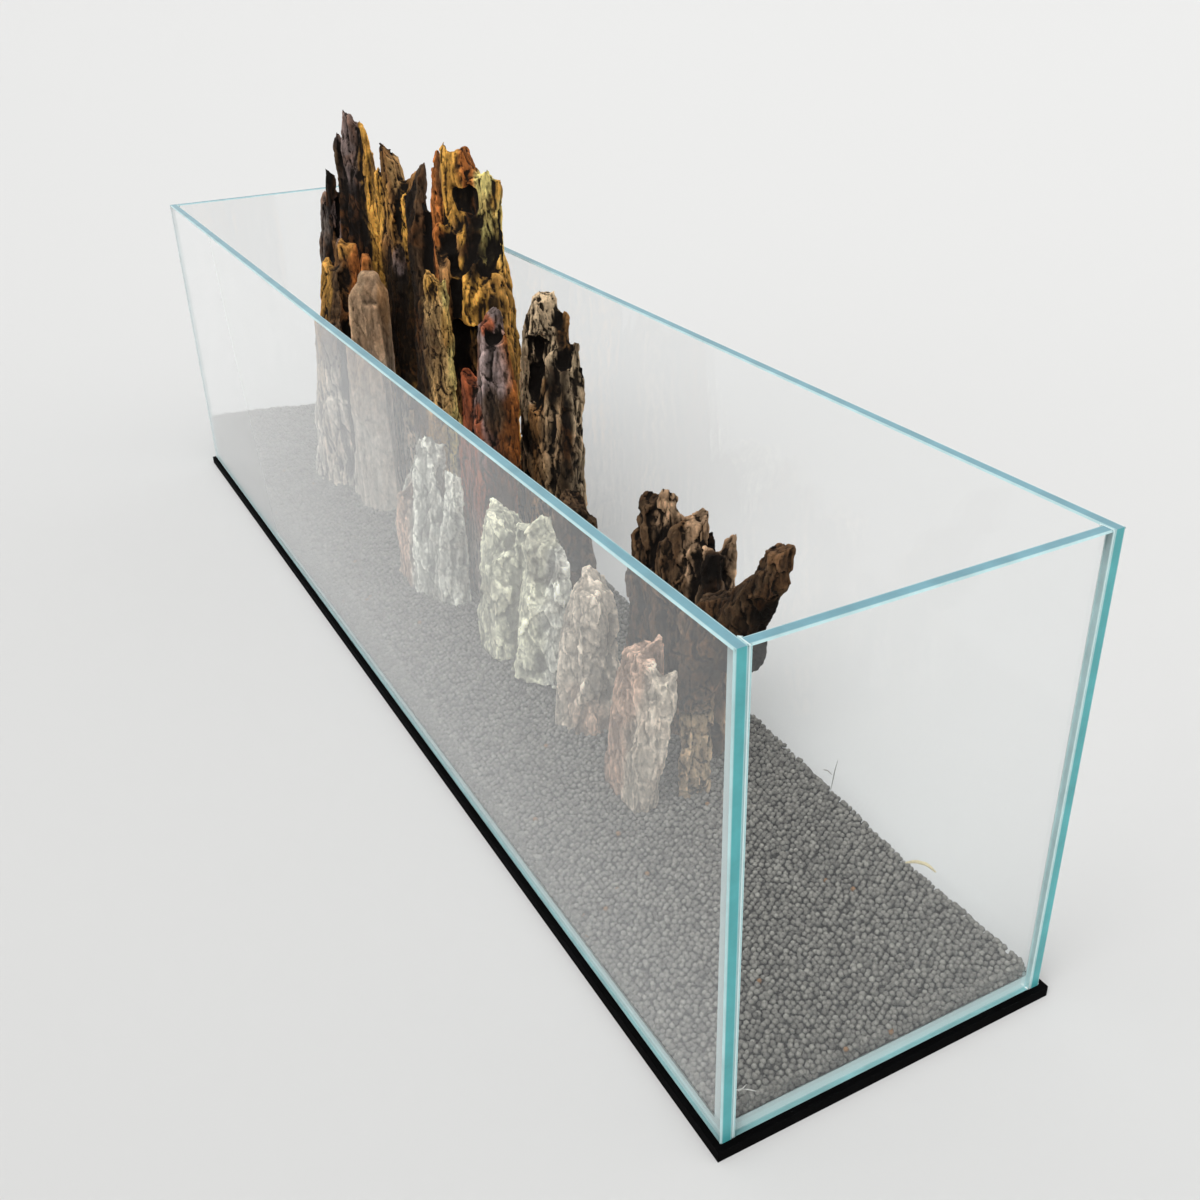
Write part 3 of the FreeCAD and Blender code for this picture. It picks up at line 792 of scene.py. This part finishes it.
# How far the skin lies under its own smoothed shape, in millimetres: above zero in a
# hollow, below zero on a ridge. More rounds of smoothing see broader hollows.
def hollowness(mesh, rounds):
    points, normals = readArray(mesh.vertices, "co"), readArray(mesh.vertices, "normal")
    one, other = edgeEnds(mesh)
    degree = np.bincount(np.concatenate([one, other]), minlength=len(points)).astype(float)
    smooth = points
    for turn in range(rounds):
        smooth = 0.35 * smooth + 0.65 * neighbourMean(smooth, one, other, degree)
    return np.sum((smooth - points) * normals, axis=1) / mm


# The stone wavers sideways on its way up, and is stretched to reach its full height.
def waverUp(points, look, foot, top, seed):
    place = (points - foot) / mm
    place[:, 2] *= (top[2] - foot[2]) / mm / place[:, 2].max()
    rooted = np.clip(place[:, 2] / growth["rooted"], 0, 1)
    for axis in (0, 1):
        place[:, axis] += look["waver"] * rooted * softNoise(place / (34, 34, 46), seed + 20 + axis, 2)
    return foot + place * mm


# Slabs: tall cells, each sunk by its own share and tilted its own way, with a narrow cleft
# on the border between two.
def cutSlabs(points, normals, cell, depth, limit, seed):
    place = points / mm
    warp = np.stack([softNoise(place / (cell[0] * 2), seed + k, 2) for k in (51, 52, 53)], axis=1)
    border, share, offset = scallops((place + warp * cell[0] * 0.4) / cell, seed + 200)
    lean = np.stack([np.cos(share * 40), np.sin(share * 40), 0.6 * np.sin(share * 90)], axis=1)
    tilt = np.sum(offset * lean, axis=1)
    cleft = 1 - easedStep(0.0, 0.16, border)
    sink = np.clip(0.6 * share + 0.8 * tilt + 0.5 * cleft, -0.15, 1.1)
    return points - normals * (np.minimum(depth, limit * 0.4) * sink)[:, None] * mm


# Pits in patches, and a gritty grain.
def cutPits(points, normals, look, limit, seed):
    place = points / mm
    warp = np.stack([softNoise(place / 9, seed + k, 2) for k in (41, 42, 43)], axis=1) * 3
    border, share = scallops((place + warp) / growth["pit"], seed + 50)[:2]
    patchy = easedStep(0.0, 0.4, softNoise(place / 22, seed + 77, 2))
    pit = np.clip(border / 0.6, 0, 1) * share * patchy
    grain = softNoise(place / growth["grain"], seed + 90, 2)
    sink = np.minimum(look["chip"] * 1.2, limit * 0.3) * pit + growth["grit"] * grain
    return points - normals * sink[:, None] * mm


# Each point's tint and thickness, shared between the shards that it is nearest to.
def shareShards(points, foot, look, rows, seed):
    local = (points - foot) / mm
    warp = np.stack([softNoise(local / (9, 9, 16), seed + k, 3) for k in (61, 62, 63)], axis=1) * 5
    weights = [np.full(len(local), math.exp(-growth["sharp"] * growth["coreReach"]))]
    limits = [np.full(len(local), float(growth["coreLimit"]))]
    for row in rows:
        reach, thickness = shardReach(local + warp, row)
        weights.append(np.exp(-growth["sharp"] * reach))
        limits.append(thickness)
    weights = np.array(weights) / np.sum(weights, axis=0)
    colours = np.array([tints[look["core"]]] + [tints[row[10]] for row in rows])
    patch = scallops((local + warp) / (10, 10, 26), seed + 300)[1]
    tint = weights.T @ colours * (0.6 + 0.8 * patch)[:, None]
    return tint, np.sum(weights * np.array(limits), axis=0)


# Each stain, and each painted shadow, covers an upright oval with a ragged soft edge.
def spreadStainsAndShadows(tint, points, foot, rows, seed):
    local = (points - foot) / mm
    ragged = 0.35 * softNoise(local / (8, 8, 16), seed + 400, 3)
    for x, y, z, halfWidth, halfHeight, colour, strength in rows:
        across = (local[:, :2] - (x, y)) @ growth["across"] / halfWidth
        distance = np.hypot(across, (local[:, 2] - z) / halfHeight) + ragged
        share = strength * (1 - easedStep(0.6, 1.15, distance))[:, None]
        tint = tint * (1 - share) + np.array(tints[colour]) * share
    return tint


# Painted light: paler towards the foot, fading out up to the height given. It stands for
# the pale veil that the front pane lays over the stones behind it.
def veiledFoot(tint, height, reach):
    share = veilCover * (1 - easedStep(0.45, 1.0, height / reach))[:, None]
    return tint * (1 - share) + np.array(tints["veil"]) * share


# The tint, mottled and streaked with grime, with light and shade painted in: ridges get a painted
# highlight, and hollows go nearly black with painted shade.
def stoneMaterial(name, rustShare, grimeShare, shadeShare):
    material, tree = newMaterial(name)
    tint = addNode(tree, "ShaderNodeAttribute", attribute_name="tint").outputs["Color"]
    hollow = addNode(tree, "ShaderNodeAttribute", attribute_name="hollow").outputs["Fac"]
    deep = addNode(tree, "ShaderNodeAttribute", attribute_name="deep").outputs["Fac"]
    swing = 0.45 * grimeShare
    broad = noiseOf(tree, 70, 6, 0.62, 0.8, (1, 1, 0.45))
    broad = remap(tree, broad, 0.34, 0.66, 1 - swing, 1 + swing)
    fine = remap(tree, noiseOf(tree, 420, 6, 0.75, 0.0, (1, 1, 0.5)), 0.3, 0.7, 0.55, 1.45)
    rust = remap(tree, noiseOf(tree, 40, 6, 0.6, 1.0), 0.5, 0.64, 0, rustShare)
    colour = mixColours(tree, rust, tint, (0.2, 0.075, 0.02, 1))
    colour = mixColours(tree, 1.0, colour, broad, "MULTIPLY")
    colour = mixColours(tree, 1.0, colour, fine, "MULTIPLY")
    streak = remap(tree, noiseOf(tree, 170, 6, 0.68, 0.6, (1, 1, 0.24)), 0.49, 0.6, 0.0, grimeShare)
    kept = remap(tree, hollow, -0.6, 0.1, 0.15, 1.0)
    streak = addNode(tree, "ShaderNodeMath", {0: streak, 1: kept}, operation="MULTIPLY").outputs[0]
    colour = mixColours(tree, streak, colour, (0.022, 0.011, 0.005, 1))
    # Painted highlight: the ridges are made up to nearly twice as bright.
    ridge = remap(tree, hollow, -0.9, -0.1, 1.9, 0.95)
    colour = mixColours(tree, 1.0, colour, ridge, "MULTIPLY")
    # Painted shade: the hollows, and after them the broad deep ones, are mixed towards near black.
    shade = remap(tree, hollow, 0.0, 0.6, 0.0, 0.95 * shadeShare)
    colour = mixColours(tree, shade, colour, (0.007, 0.004, 0.002, 1))
    shade = remap(tree, deep, 0.3, 1.8, 0.0, 0.97 * shadeShare)
    colour = mixColours(tree, shade, colour, (0.006, 0.0035, 0.002, 1))
    grain = noiseOf(tree, 480, 8, 0.75, 0.0, (1, 1, 0.5))
    inputs = {"Base Color": colour, "Roughness": 0.82, "Specular IOR Level": 0.22}
    inputs["Normal"] = bumpOf(tree, grain, 1.0, 0.0016)
    finishMaterial(tree, addNode(tree, "ShaderNodeBsdfPrincipled", inputs).outputs[0])
    return material


# Gives a mesh its new points, and reads the normals that it then has.
def moved(mesh, points):
    mesh.vertices.foreach_set("co", points.ravel())
    mesh.update()
    return readArray(mesh.vertices, "normal")


# The rough stone: its core and its shards, one after another in one mesh.
def roughStone(node, rows, look, foot, seed):
    points, triangles = coreOf(node, foot)
    if look["bare"]:
        points, triangles = points[:0], triangles[:0]
    for index, row in enumerate(rows):
        grown, sides = shardSurface(row, look["slant"], seed + index)
        triangles = np.concatenate([triangles, sides + len(points)])
        points = np.concatenate([points, grown * mm + foot])
    mesh = bpy.data.meshes.new(node + "_rough")
    mesh.from_pydata(points.tolist(), [], triangles.tolist())
    return mesh


# Each stone: its shards are joined into one skin, cut into slabs and bent, thinned to broad
# facets, joined again on a finer grid, and cut into ever smaller slabs and then pits.
def makeStones():
    dressed = {"light": stoneMaterial("lightStone", 0.35, 0.85, 1.0),
               "smooth": stoneMaterial("smoothStone", 0.2, 0.35, 1.0),
               "pale": stoneMaterial("paleStone", 0.15, 0.2, 0.4),
               "dark": stoneMaterial("darkStone", 0.2, 0.9, 1.0)}
    for order, (name, rows) in enumerate(shards.items()):
        node, seed = name + "_stone", 101 * order
        look = dict(zip(lookFields, stoneLooks[name]), bare=name in bareStones)
        low, high = (np.array(corner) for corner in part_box(node))
        foot = np.array([(low[0] + high[0]) / 2, (low[1] + high[1]) / 2, low[2]])
        spill = np.array([0, look["spill"], 0]) * mm
        cell = np.array([look["slabWide"], look["slabWide"], look["slabHigh"]])
        if not look["bare"]:
            rows = rows + farShards(rows, (high - low)[:2] / 2 / mm, seed)

        mesh = remeshed(roughStone(node, rows, look, foot, seed), growth["voxel"])
        points, normals = readArray(mesh.vertices, "co"), readArray(mesh.vertices, "normal")
        limit = shareShards(points, foot, look, rows, seed)[1]
        points = cutSlabs(points, normals, cell, look["depth"], limit, seed)
        moved(mesh, np.clip(waverUp(points, look, foot, high, seed), low - spill, high + spill))
        mesh = remeshed(mesh, growth["voxel"], growth["facets"])

        points, faces = largestPart(remeshed(mesh, look["voxel"]))
        stone = newPiece(node + "_rock", points, faces)
        mesh = stone.data
        tint, limit = shareShards(points, foot, look, rows, seed)
        normals = readArray(mesh.vertices, "normal")
        points = cutSlabs(points, normals, cell * 0.5, look["chip"] * 1.6, limit, seed + 9)
        normals = moved(mesh, points)
        points = cutSlabs(points, normals, cell * 0.22, look["chip"] * 0.7, limit, seed + 19)
        normals = moved(mesh, points)
        points = cutPits(points, normals, look, limit, seed)
        moved(mesh, np.clip(points, low - spill, high + spill))

        tint = spreadStainsAndShadows(tint, points, foot, stainsAndShadows.get(name, []), seed)
        if name in veilUpTo:
            tint = veiledFoot(tint, (points[:, 2] - foot[2]) / mm, veilUpTo[name])
        writeColours(mesh, "tint", tint)
        # The material reads these for the painted highlight on ridges and the painted shade in hollows.
        writeValues(mesh, "hollow", 0.9 * hollowness(mesh, 5) + 0.45 * hollowness(mesh, 40))
        writeValues(mesh, "deep", hollowness(mesh, 240))
        dress(stone, dressed[look["skin"]])
        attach(stone, node)
        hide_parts(node)
        print("stone", name, len(mesh.polygons), "faces")


makeStones()
print("stones made")


# Granular soil: a dark bed, and granules over it and against the panes.
soil = {
    "granule": 1.58,        # mean half size, mm
    "spread": 0.09,         # how much it varies
    "pitch": 3.2,           # mm between granules on the top
    "layers": ((0.35, 1.0), (1.9, 1.25)),   # depth in half sizes, and spacing in pitches
    "inset": 2.3,           # mm, how far the dark bed lies behind the granules
    "ripple": 1.3,          # mm, gentle unevenness of the top
    "rippleLength": 45,     # mm, cells of the noise that makes it
    "mound": 4.0,           # mm, heap at the left end by the front pane
    "moundLength": 120,     # mm, how far along the tank it reaches
    "moundEdge": (-12, 30), # mm, where it ends across the tank, and over how long
    "footReach": 9,         # mm of a stone's foot that the soil leaves room for
    "hole": 5.5,            # mm, how deep the soil is hollowed under a stone
    "perPiece": 9500,       # granules in one piece, at most
    "seed": 11,
}


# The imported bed's box, and its profile: the upper points on its front side, by their X.
def soilOutline():
    points = readArray(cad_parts["soil_bed"].data.vertices, "co")
    low, high = points.min(0), points.max(0)
    edge = points[(points[:, 1] < low[1] + 2 * mm) & (points[:, 2] > low[2] + 3 * mm)]
    edge = edge[np.argsort(edge[:, 0])]
    return low, high, edge[:, 0], edge[:, 2]


soilLow, soilHigh, soilX, soilZ = soilOutline()


# Height of the soil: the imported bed's own profile, a slow ripple, and a heap in one corner,
# which falls off along the tank as a bell curve and across it as a hyperbolic tangent.
def soilHeight(x, y):
    place = np.stack([x, y, x * 0], axis=-1).reshape(-1, 3) / (soil["rippleLength"] * mm)
    ripple = softNoise(place, 5, 2).reshape(x.shape) * soil["ripple"] * mm
    away = (x - soilLow[0]) / (soil["moundLength"] * mm)
    edge, fade = soil["moundEdge"]
    heap = np.exp(-away ** 2) * np.tanh((edge * mm - y) / (fade * mm)) * soil["mound"] * mm
    return np.interp(x, soilX, soilZ) + ripple + heap


# Cells of a millimetre grid that a stone's foot covers: the marked cells, filled between.
def footMask():
    shape = (int((soilHigh[0] - soilLow[0]) / mm) + 2, int((soilHigh[1] - soilLow[1]) / mm) + 2)
    covered = np.zeros(shape, bool)
    for name in shards:
        points = readArray(bpy.data.objects[name + "_stone_rock"].data.vertices, "co")
        points = points[points[:, 2] < points[:, 2].min() + soil["footReach"] * mm]
        cells = ((points[:, :2] - soilLow[:2]) / mm).astype(int)
        mark = np.zeros(shape, bool)
        mark[cells[:, 0], cells[:, 1]] = True
        inside = np.ones(shape, bool)
        for axis in (0, 1):
            inside &= np.maximum.accumulate(mark, axis=axis)
            inside &= np.flip(np.maximum.accumulate(np.flip(mark, axis), axis=axis), axis)
        covered |= inside
    return covered


# The dark bed: a grid over the floor, its top a little under the granules' tops, closed
# with a skirt to the bottom pane. Its near-black colour is painted shade between the granules.
def makeSoilBed():
    inset = soil["inset"] * mm
    x = np.linspace(soilLow[0] + inset, soilHigh[0] - inset, 300)
    y = np.linspace(soilLow[1] + inset, soilHigh[1] - inset, 60)
    gridX, gridY = np.meshgrid(x, y, indexing="ij")
    cells = ((np.stack([gridX, gridY], -1) - soilLow[:2]) / mm).astype(int)
    sunk = footMask()[cells[..., 0], cells[..., 1]]
    top = soilHeight(gridX, gridY) - inset - np.where(sunk, soil["hole"] * mm, 0)
    upper = np.stack([gridX, gridY, top], axis=-1).reshape(-1, 3)
    lower = upper.copy()
    lower[:, 2] = soilLow[2]
    rows, columns = gridX.shape
    number = np.arange(rows * columns).reshape(rows, columns)
    quads = [number[:-1, :-1], number[1:, :-1], number[1:, 1:], number[:-1, 1:]]
    quads = np.stack(quads, axis=-1).reshape(-1, 4)
    under = quads[:, ::-1] + rows * columns
    rim = np.concatenate([number[:, 0], number[-1, 1:], number[-2::-1, -1], number[0, -2:0:-1]])
    following = np.roll(rim, -1)
    sides = np.stack([rim + rows * columns, following + rows * columns, following, rim], axis=1)
    return newPiece("soil_core", np.concatenate([upper, lower]), quads, under, sides)


# Places of the granules: jittered rows over the top, a second layer under them, and rows
# up each pane.
def granulePlaces(random):
    pitch, half = soil["pitch"] * mm, soil["granule"] * mm
    edge = half * 1.02
    places = []
    for depth, gap in soil["layers"]:
        x = np.arange(soilLow[0] + edge, soilHigh[0] - edge, pitch * gap)
        y = np.arange(soilLow[1] + edge, soilHigh[1] - edge, pitch * gap * 0.88)
        gridX, gridY = np.meshgrid(x, y, indexing="ij")
        gridX = gridX + (np.arange(len(y)) % 2 * 0.5)[None, :] * pitch
        gridX = gridX + random.normal(0, 0.13, gridX.shape) * pitch
        gridY = gridY + random.normal(0, 0.13, gridX.shape) * pitch
        gridX, gridY = gridX.ravel(), gridY.ravel()
        z = soilHeight(gridX, gridY) - depth * half + random.normal(0, 0.30, len(gridX)) * half
        places.append(np.stack([gridX, gridY, z], axis=1))
    for axis, side in ((0, 0), (0, 1), (1, 0), (1, 1)):
        other = 1 - axis
        run = np.arange(soilLow[other] + edge, soilHigh[other] - edge, pitch * 0.98)
        rise = np.arange(soilLow[2] + half, soilHigh[2] + 6 * mm, pitch * 0.9)
        gridRun, gridRise = np.meshgrid(run, rise, indexing="ij")
        gridRun = gridRun + (np.arange(len(rise)) % 2 * 0.5)[None, :] * pitch
        gridRun = (gridRun + random.normal(0, 0.15, gridRun.shape) * pitch).ravel()
        gridRise = (gridRise + random.normal(0, 0.12, gridRise.shape) * pitch).ravel()
        wall = (soilHigh[axis] - edge) if side else (soilLow[axis] + edge)
        inward = np.abs(random.normal(0, 0.15, len(gridRun))) * half
        spot = np.empty((len(gridRun), 3))
        spot[:, axis] = wall - inward if side else wall + inward
        spot[:, other] = gridRun
        spot[:, 2] = gridRise
        places.append(spot[spot[:, 2] < soilHeight(spot[:, 0], spot[:, 1]) - 0.5 * half])
    places = np.concatenate(places)
    places[:, :2] = np.clip(places[:, :2], soilLow[:2] + edge, soilHigh[:2] - edge)
    cells = ((places[:, :2] - soilLow[:2]) / mm).astype(int)
    under = footMask()[cells[:, 0], cells[:, 1]]
    floor = soilHeight(places[:, 0], places[:, 1]) - (soil["hole"] + 0.1) * mm - half
    places[:, 2] = np.where(under, np.minimum(places[:, 2], floor), places[:, 2])
    places[:, 2] = np.maximum(places[:, 2], soilLow[2] + half)
    return places


# A ball of twenty triangles: its corners are those of three golden rectangles.
def granuleShape():
    t = (1 + 5 ** 0.5) / 2      # long side of a golden rectangle whose short side is 1
    points = np.array([(-1, t, 0), (1, t, 0), (-1, -t, 0), (1, -t, 0), (0, -1, t), (0, 1, t),
                       (0, -1, -t), (0, 1, -t), (t, 0, -1), (t, 0, 1), (-t, 0, -1), (-t, 0, 1)])
    faces = np.array([(0, 11, 5), (0, 5, 1), (0, 1, 7), (0, 7, 10), (0, 10, 11), (1, 5, 9), (5, 11, 4),
                      (11, 10, 2), (10, 7, 6), (7, 1, 8), (3, 9, 4), (3, 4, 2), (3, 2, 6), (3, 6, 8),
                      (3, 8, 9), (4, 9, 5), (2, 4, 11), (6, 2, 10), (8, 6, 7), (9, 8, 1)])
    return points / np.linalg.norm(points[0]), faces


# Each granule: a twenty-sided ball with each corner pushed in or out, squashed a little,
# turned at random and moved to its place, with light and shade painted on its corners.
def makeGranules(material):
    random = np.random.default_rng(soil["seed"])
    places = granulePlaces(random)
    ball, sides = granuleShape()
    count = len(places)
    corners = ball[None] * random.uniform(0.95, 1.06, (count, len(ball), 1))
    corners = corners * random.uniform(0.92, 1.06, (count, 1, 3))
    quaternion = random.normal(size=(count, 4))
    quaternion /= np.linalg.norm(quaternion, axis=1, keepdims=True)
    w, u = quaternion[:, None, :1], quaternion[:, None, 1:]
    corners = corners + 2 * np.cross(u, np.cross(u, corners) + w * corners)
    # Painted light and shade: a corner is paler the higher it sits and the further to the front, and nearly
    # black underneath.
    paintedLight = np.clip(0.5 + 0.5 * corners[..., 2] - 0.25 * corners[..., 1], 0.04, 1.2)
    size = soil["granule"] * mm * np.clip(random.normal(1, soil["spread"], count), 0.72, 1.3)
    corners = corners * size[:, None, None] + places[:, None, :]
    room = 0.2 * mm         # the soil may use this much of its clearance to the panes
    corners[..., :2] = np.clip(corners[..., :2], soilLow[:2] - room, soilHigh[:2] + room)
    corners[..., 2] = np.maximum(corners[..., 2], soilLow[2])
    tone = np.clip(random.normal(0.5, 0.2, count), 0.12, 0.95)
    tone = np.where(random.random(count) < 0.0015, 1.0, tone)
    pieces = math.ceil(count / soil["perPiece"])
    for piece in range(pieces):
        chosen = np.arange(piece, count, pieces)
        points = corners[chosen].reshape(-1, 3)
        faces = (sides[None] + len(ball) * np.arange(len(chosen))[:, None, None]).reshape(-1, 3)
        grains = newPiece("soil_granules_%d" % (piece + 1), points, faces)
        writeValues(grains.data, "tone", np.repeat(tone[chosen], len(ball)))
        writeValues(grains.data, "paintedLight", paintedLight[chosen].ravel())
        dress(grains, material)
        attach(grains, "tank")
    print("granules:", count, "in", pieces, "pieces")


def soilMaterial():
    material, tree = newMaterial("firedClay")
    tone = addNode(tree, "ShaderNodeAttribute", attribute_name="tone").outputs["Fac"]
    paintedLight = addNode(tree, "ShaderNodeAttribute", attribute_name="paintedLight").outputs["Fac"]
    shade = remap(tree, tone, 0.0, 0.95, 0.0, 1.0)
    colour = mixColours(tree, shade, (0.115, 0.111, 0.1, 1), (0.365, 0.355, 0.315, 1))
    odd = remap(tree, tone, 0.97, 0.99, 0.0, 1.0)
    colour = mixColours(tree, odd, colour, (0.32, 0.17, 0.07, 1))
    mottle = remap(tree, noiseOf(tree, 700, 4, 0.7), 0.3, 0.7, 0.75, 1.25)
    colour = mixColours(tree, 1.0, colour, mottle, "MULTIPLY")
    # Painted shade and light: each granule darkens towards its underside.
    colour = mixColours(tree, 1.0, colour, remap(tree, paintedLight, 0.1, 1.0, 0.03, 1.0), "MULTIPLY")
    inputs = {"Base Color": colour, "Roughness": 0.9, "Specular IOR Level": 0.2}
    inputs["Normal"] = bumpOf(tree, noiseOf(tree, 1500, 3, 0.7), 0.5, 0.0004)
    finishMaterial(tree, addNode(tree, "ShaderNodeBsdfPrincipled", inputs).outputs[0])
    return material


def bedMaterial():
    material, tree = newMaterial("soilShadow")
    mottle = remap(tree, noiseOf(tree, 500, 4, 0.7), 0.3, 0.7, 0.6, 1.4)
    # Near black: painted shade in the gaps between the granules.
    colour = mixColours(tree, 1.0, (0.008, 0.0075, 0.007, 1), mottle, "MULTIPLY")
    inputs = {"Base Color": colour, "Roughness": 1.0, "Specular IOR Level": 0.1}
    inputs["Normal"] = bumpOf(tree, noiseOf(tree, 400, 4), 0.6, 0.001)
    finishMaterial(tree, addNode(tree, "ShaderNodeBsdfPrincipled", inputs).outputs[0])
    return material


bed = makeSoilBed()
dress(bed, bedMaterial())
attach(bed, "tank")
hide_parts("soil_bed")
makeGranules(soilMaterial())
print("soil made")

# Litter on the soil: bent fibres and a husk. Each is a run of places in millimetres in the
# tank's frame, a half thickness and a colour.
litter = {
    "thin_root": dict(
        run=((297, 80.6, 26), (298.6, 80.2, 34), (300, 80.0, 42), (302, 79.8, 50)),
        thickness=0.28, colour=(0.30, 0.29, 0.26, 1)),
    "short_root": dict(
        run=((290, 80.2, 36), (294, 80.0, 38), (297.5, 80.2, 37.2)),
        thickness=0.3, colour=(0.34, 0.32, 0.28, 1)),
    "husk": dict(
        run=((369, 72, 31), (373, 75, 33.5), (378, 78, 34), (383, 79.5, 32)),
        thickness=0.9, colour=(0.78, 0.68, 0.42, 1)),
    "white_root": dict(
        run=((436, -78, 18), (438, -75, 21.5), (440, -72, 22), (442.6, -70, 22.5)),
        thickness=0.3, colour=(0.80, 0.79, 0.74, 1)),
    "white_sprig": dict(
        run=((434, -79, 18.5), (437, -77.5, 21.5), (438.5, -74, 22), (437, -71, 21.5)),
        thickness=0.25, colour=(0.76, 0.75, 0.7, 1)),
}
litterRings, litterSides = 9, 6


def litterMaterial(name, colour):
    material, tree = newMaterial(name)
    mottle = remap(tree, noiseOf(tree, 900), 0.3, 0.7, 0.7, 1.2)
    shade = mixColours(tree, 1.0, colour, mottle, "MULTIPLY")
    inputs = {"Base Color": shade, "Roughness": 0.8}
    finishMaterial(tree, addNode(tree, "ShaderNodeBsdfPrincipled", inputs).outputs[0])
    return material


# A tube along the run of places: a ring of points round each of its middles, whose width
# follows the square root of half a sine wave, and a flat cap at either end.
def makeLitter():
    turns = np.arange(litterSides) * 2 * math.pi / litterSides
    wave = np.sin(math.pi * np.linspace(0.06, 0.94, litterRings))
    number = np.arange(litterRings * litterSides).reshape(litterRings, litterSides)
    following = np.roll(number, -1, axis=1)
    quads = [number[:-1], following[:-1], following[1:], number[1:]]
    quads = np.stack(quads, axis=-1).reshape(-1, 4)
    for name, look in litter.items():
        run = np.array(look["run"])
        share = np.linspace(0, len(run) - 1, litterRings)
        steps = np.arange(len(run))
        middle = np.stack([np.interp(share, steps, run[:, axis]) for axis in range(3)], axis=1)
        along = np.gradient(middle, axis=0)
        along /= np.linalg.norm(along, axis=1, keepdims=True)
        side = np.cross(along, (0.13, 0.31, 0.94))
        side /= np.linalg.norm(side, axis=1, keepdims=True)
        other = np.cross(along, side)
        ring = np.cos(turns)[:, None] * side[:, None] + np.sin(turns)[:, None] * other[:, None]
        width = look["thickness"] * np.sqrt(wave)[:, None, None]
        points = (middle[:, None] + width * ring).reshape(-1, 3) * mm
        piece = newPiece(name, points, quads, number[:1, ::-1], number[-1:], smooth=False)
        dress(piece, litterMaterial(name, look["colour"]))
        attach(piece, "tank")


makeLitter()
print("litter made")
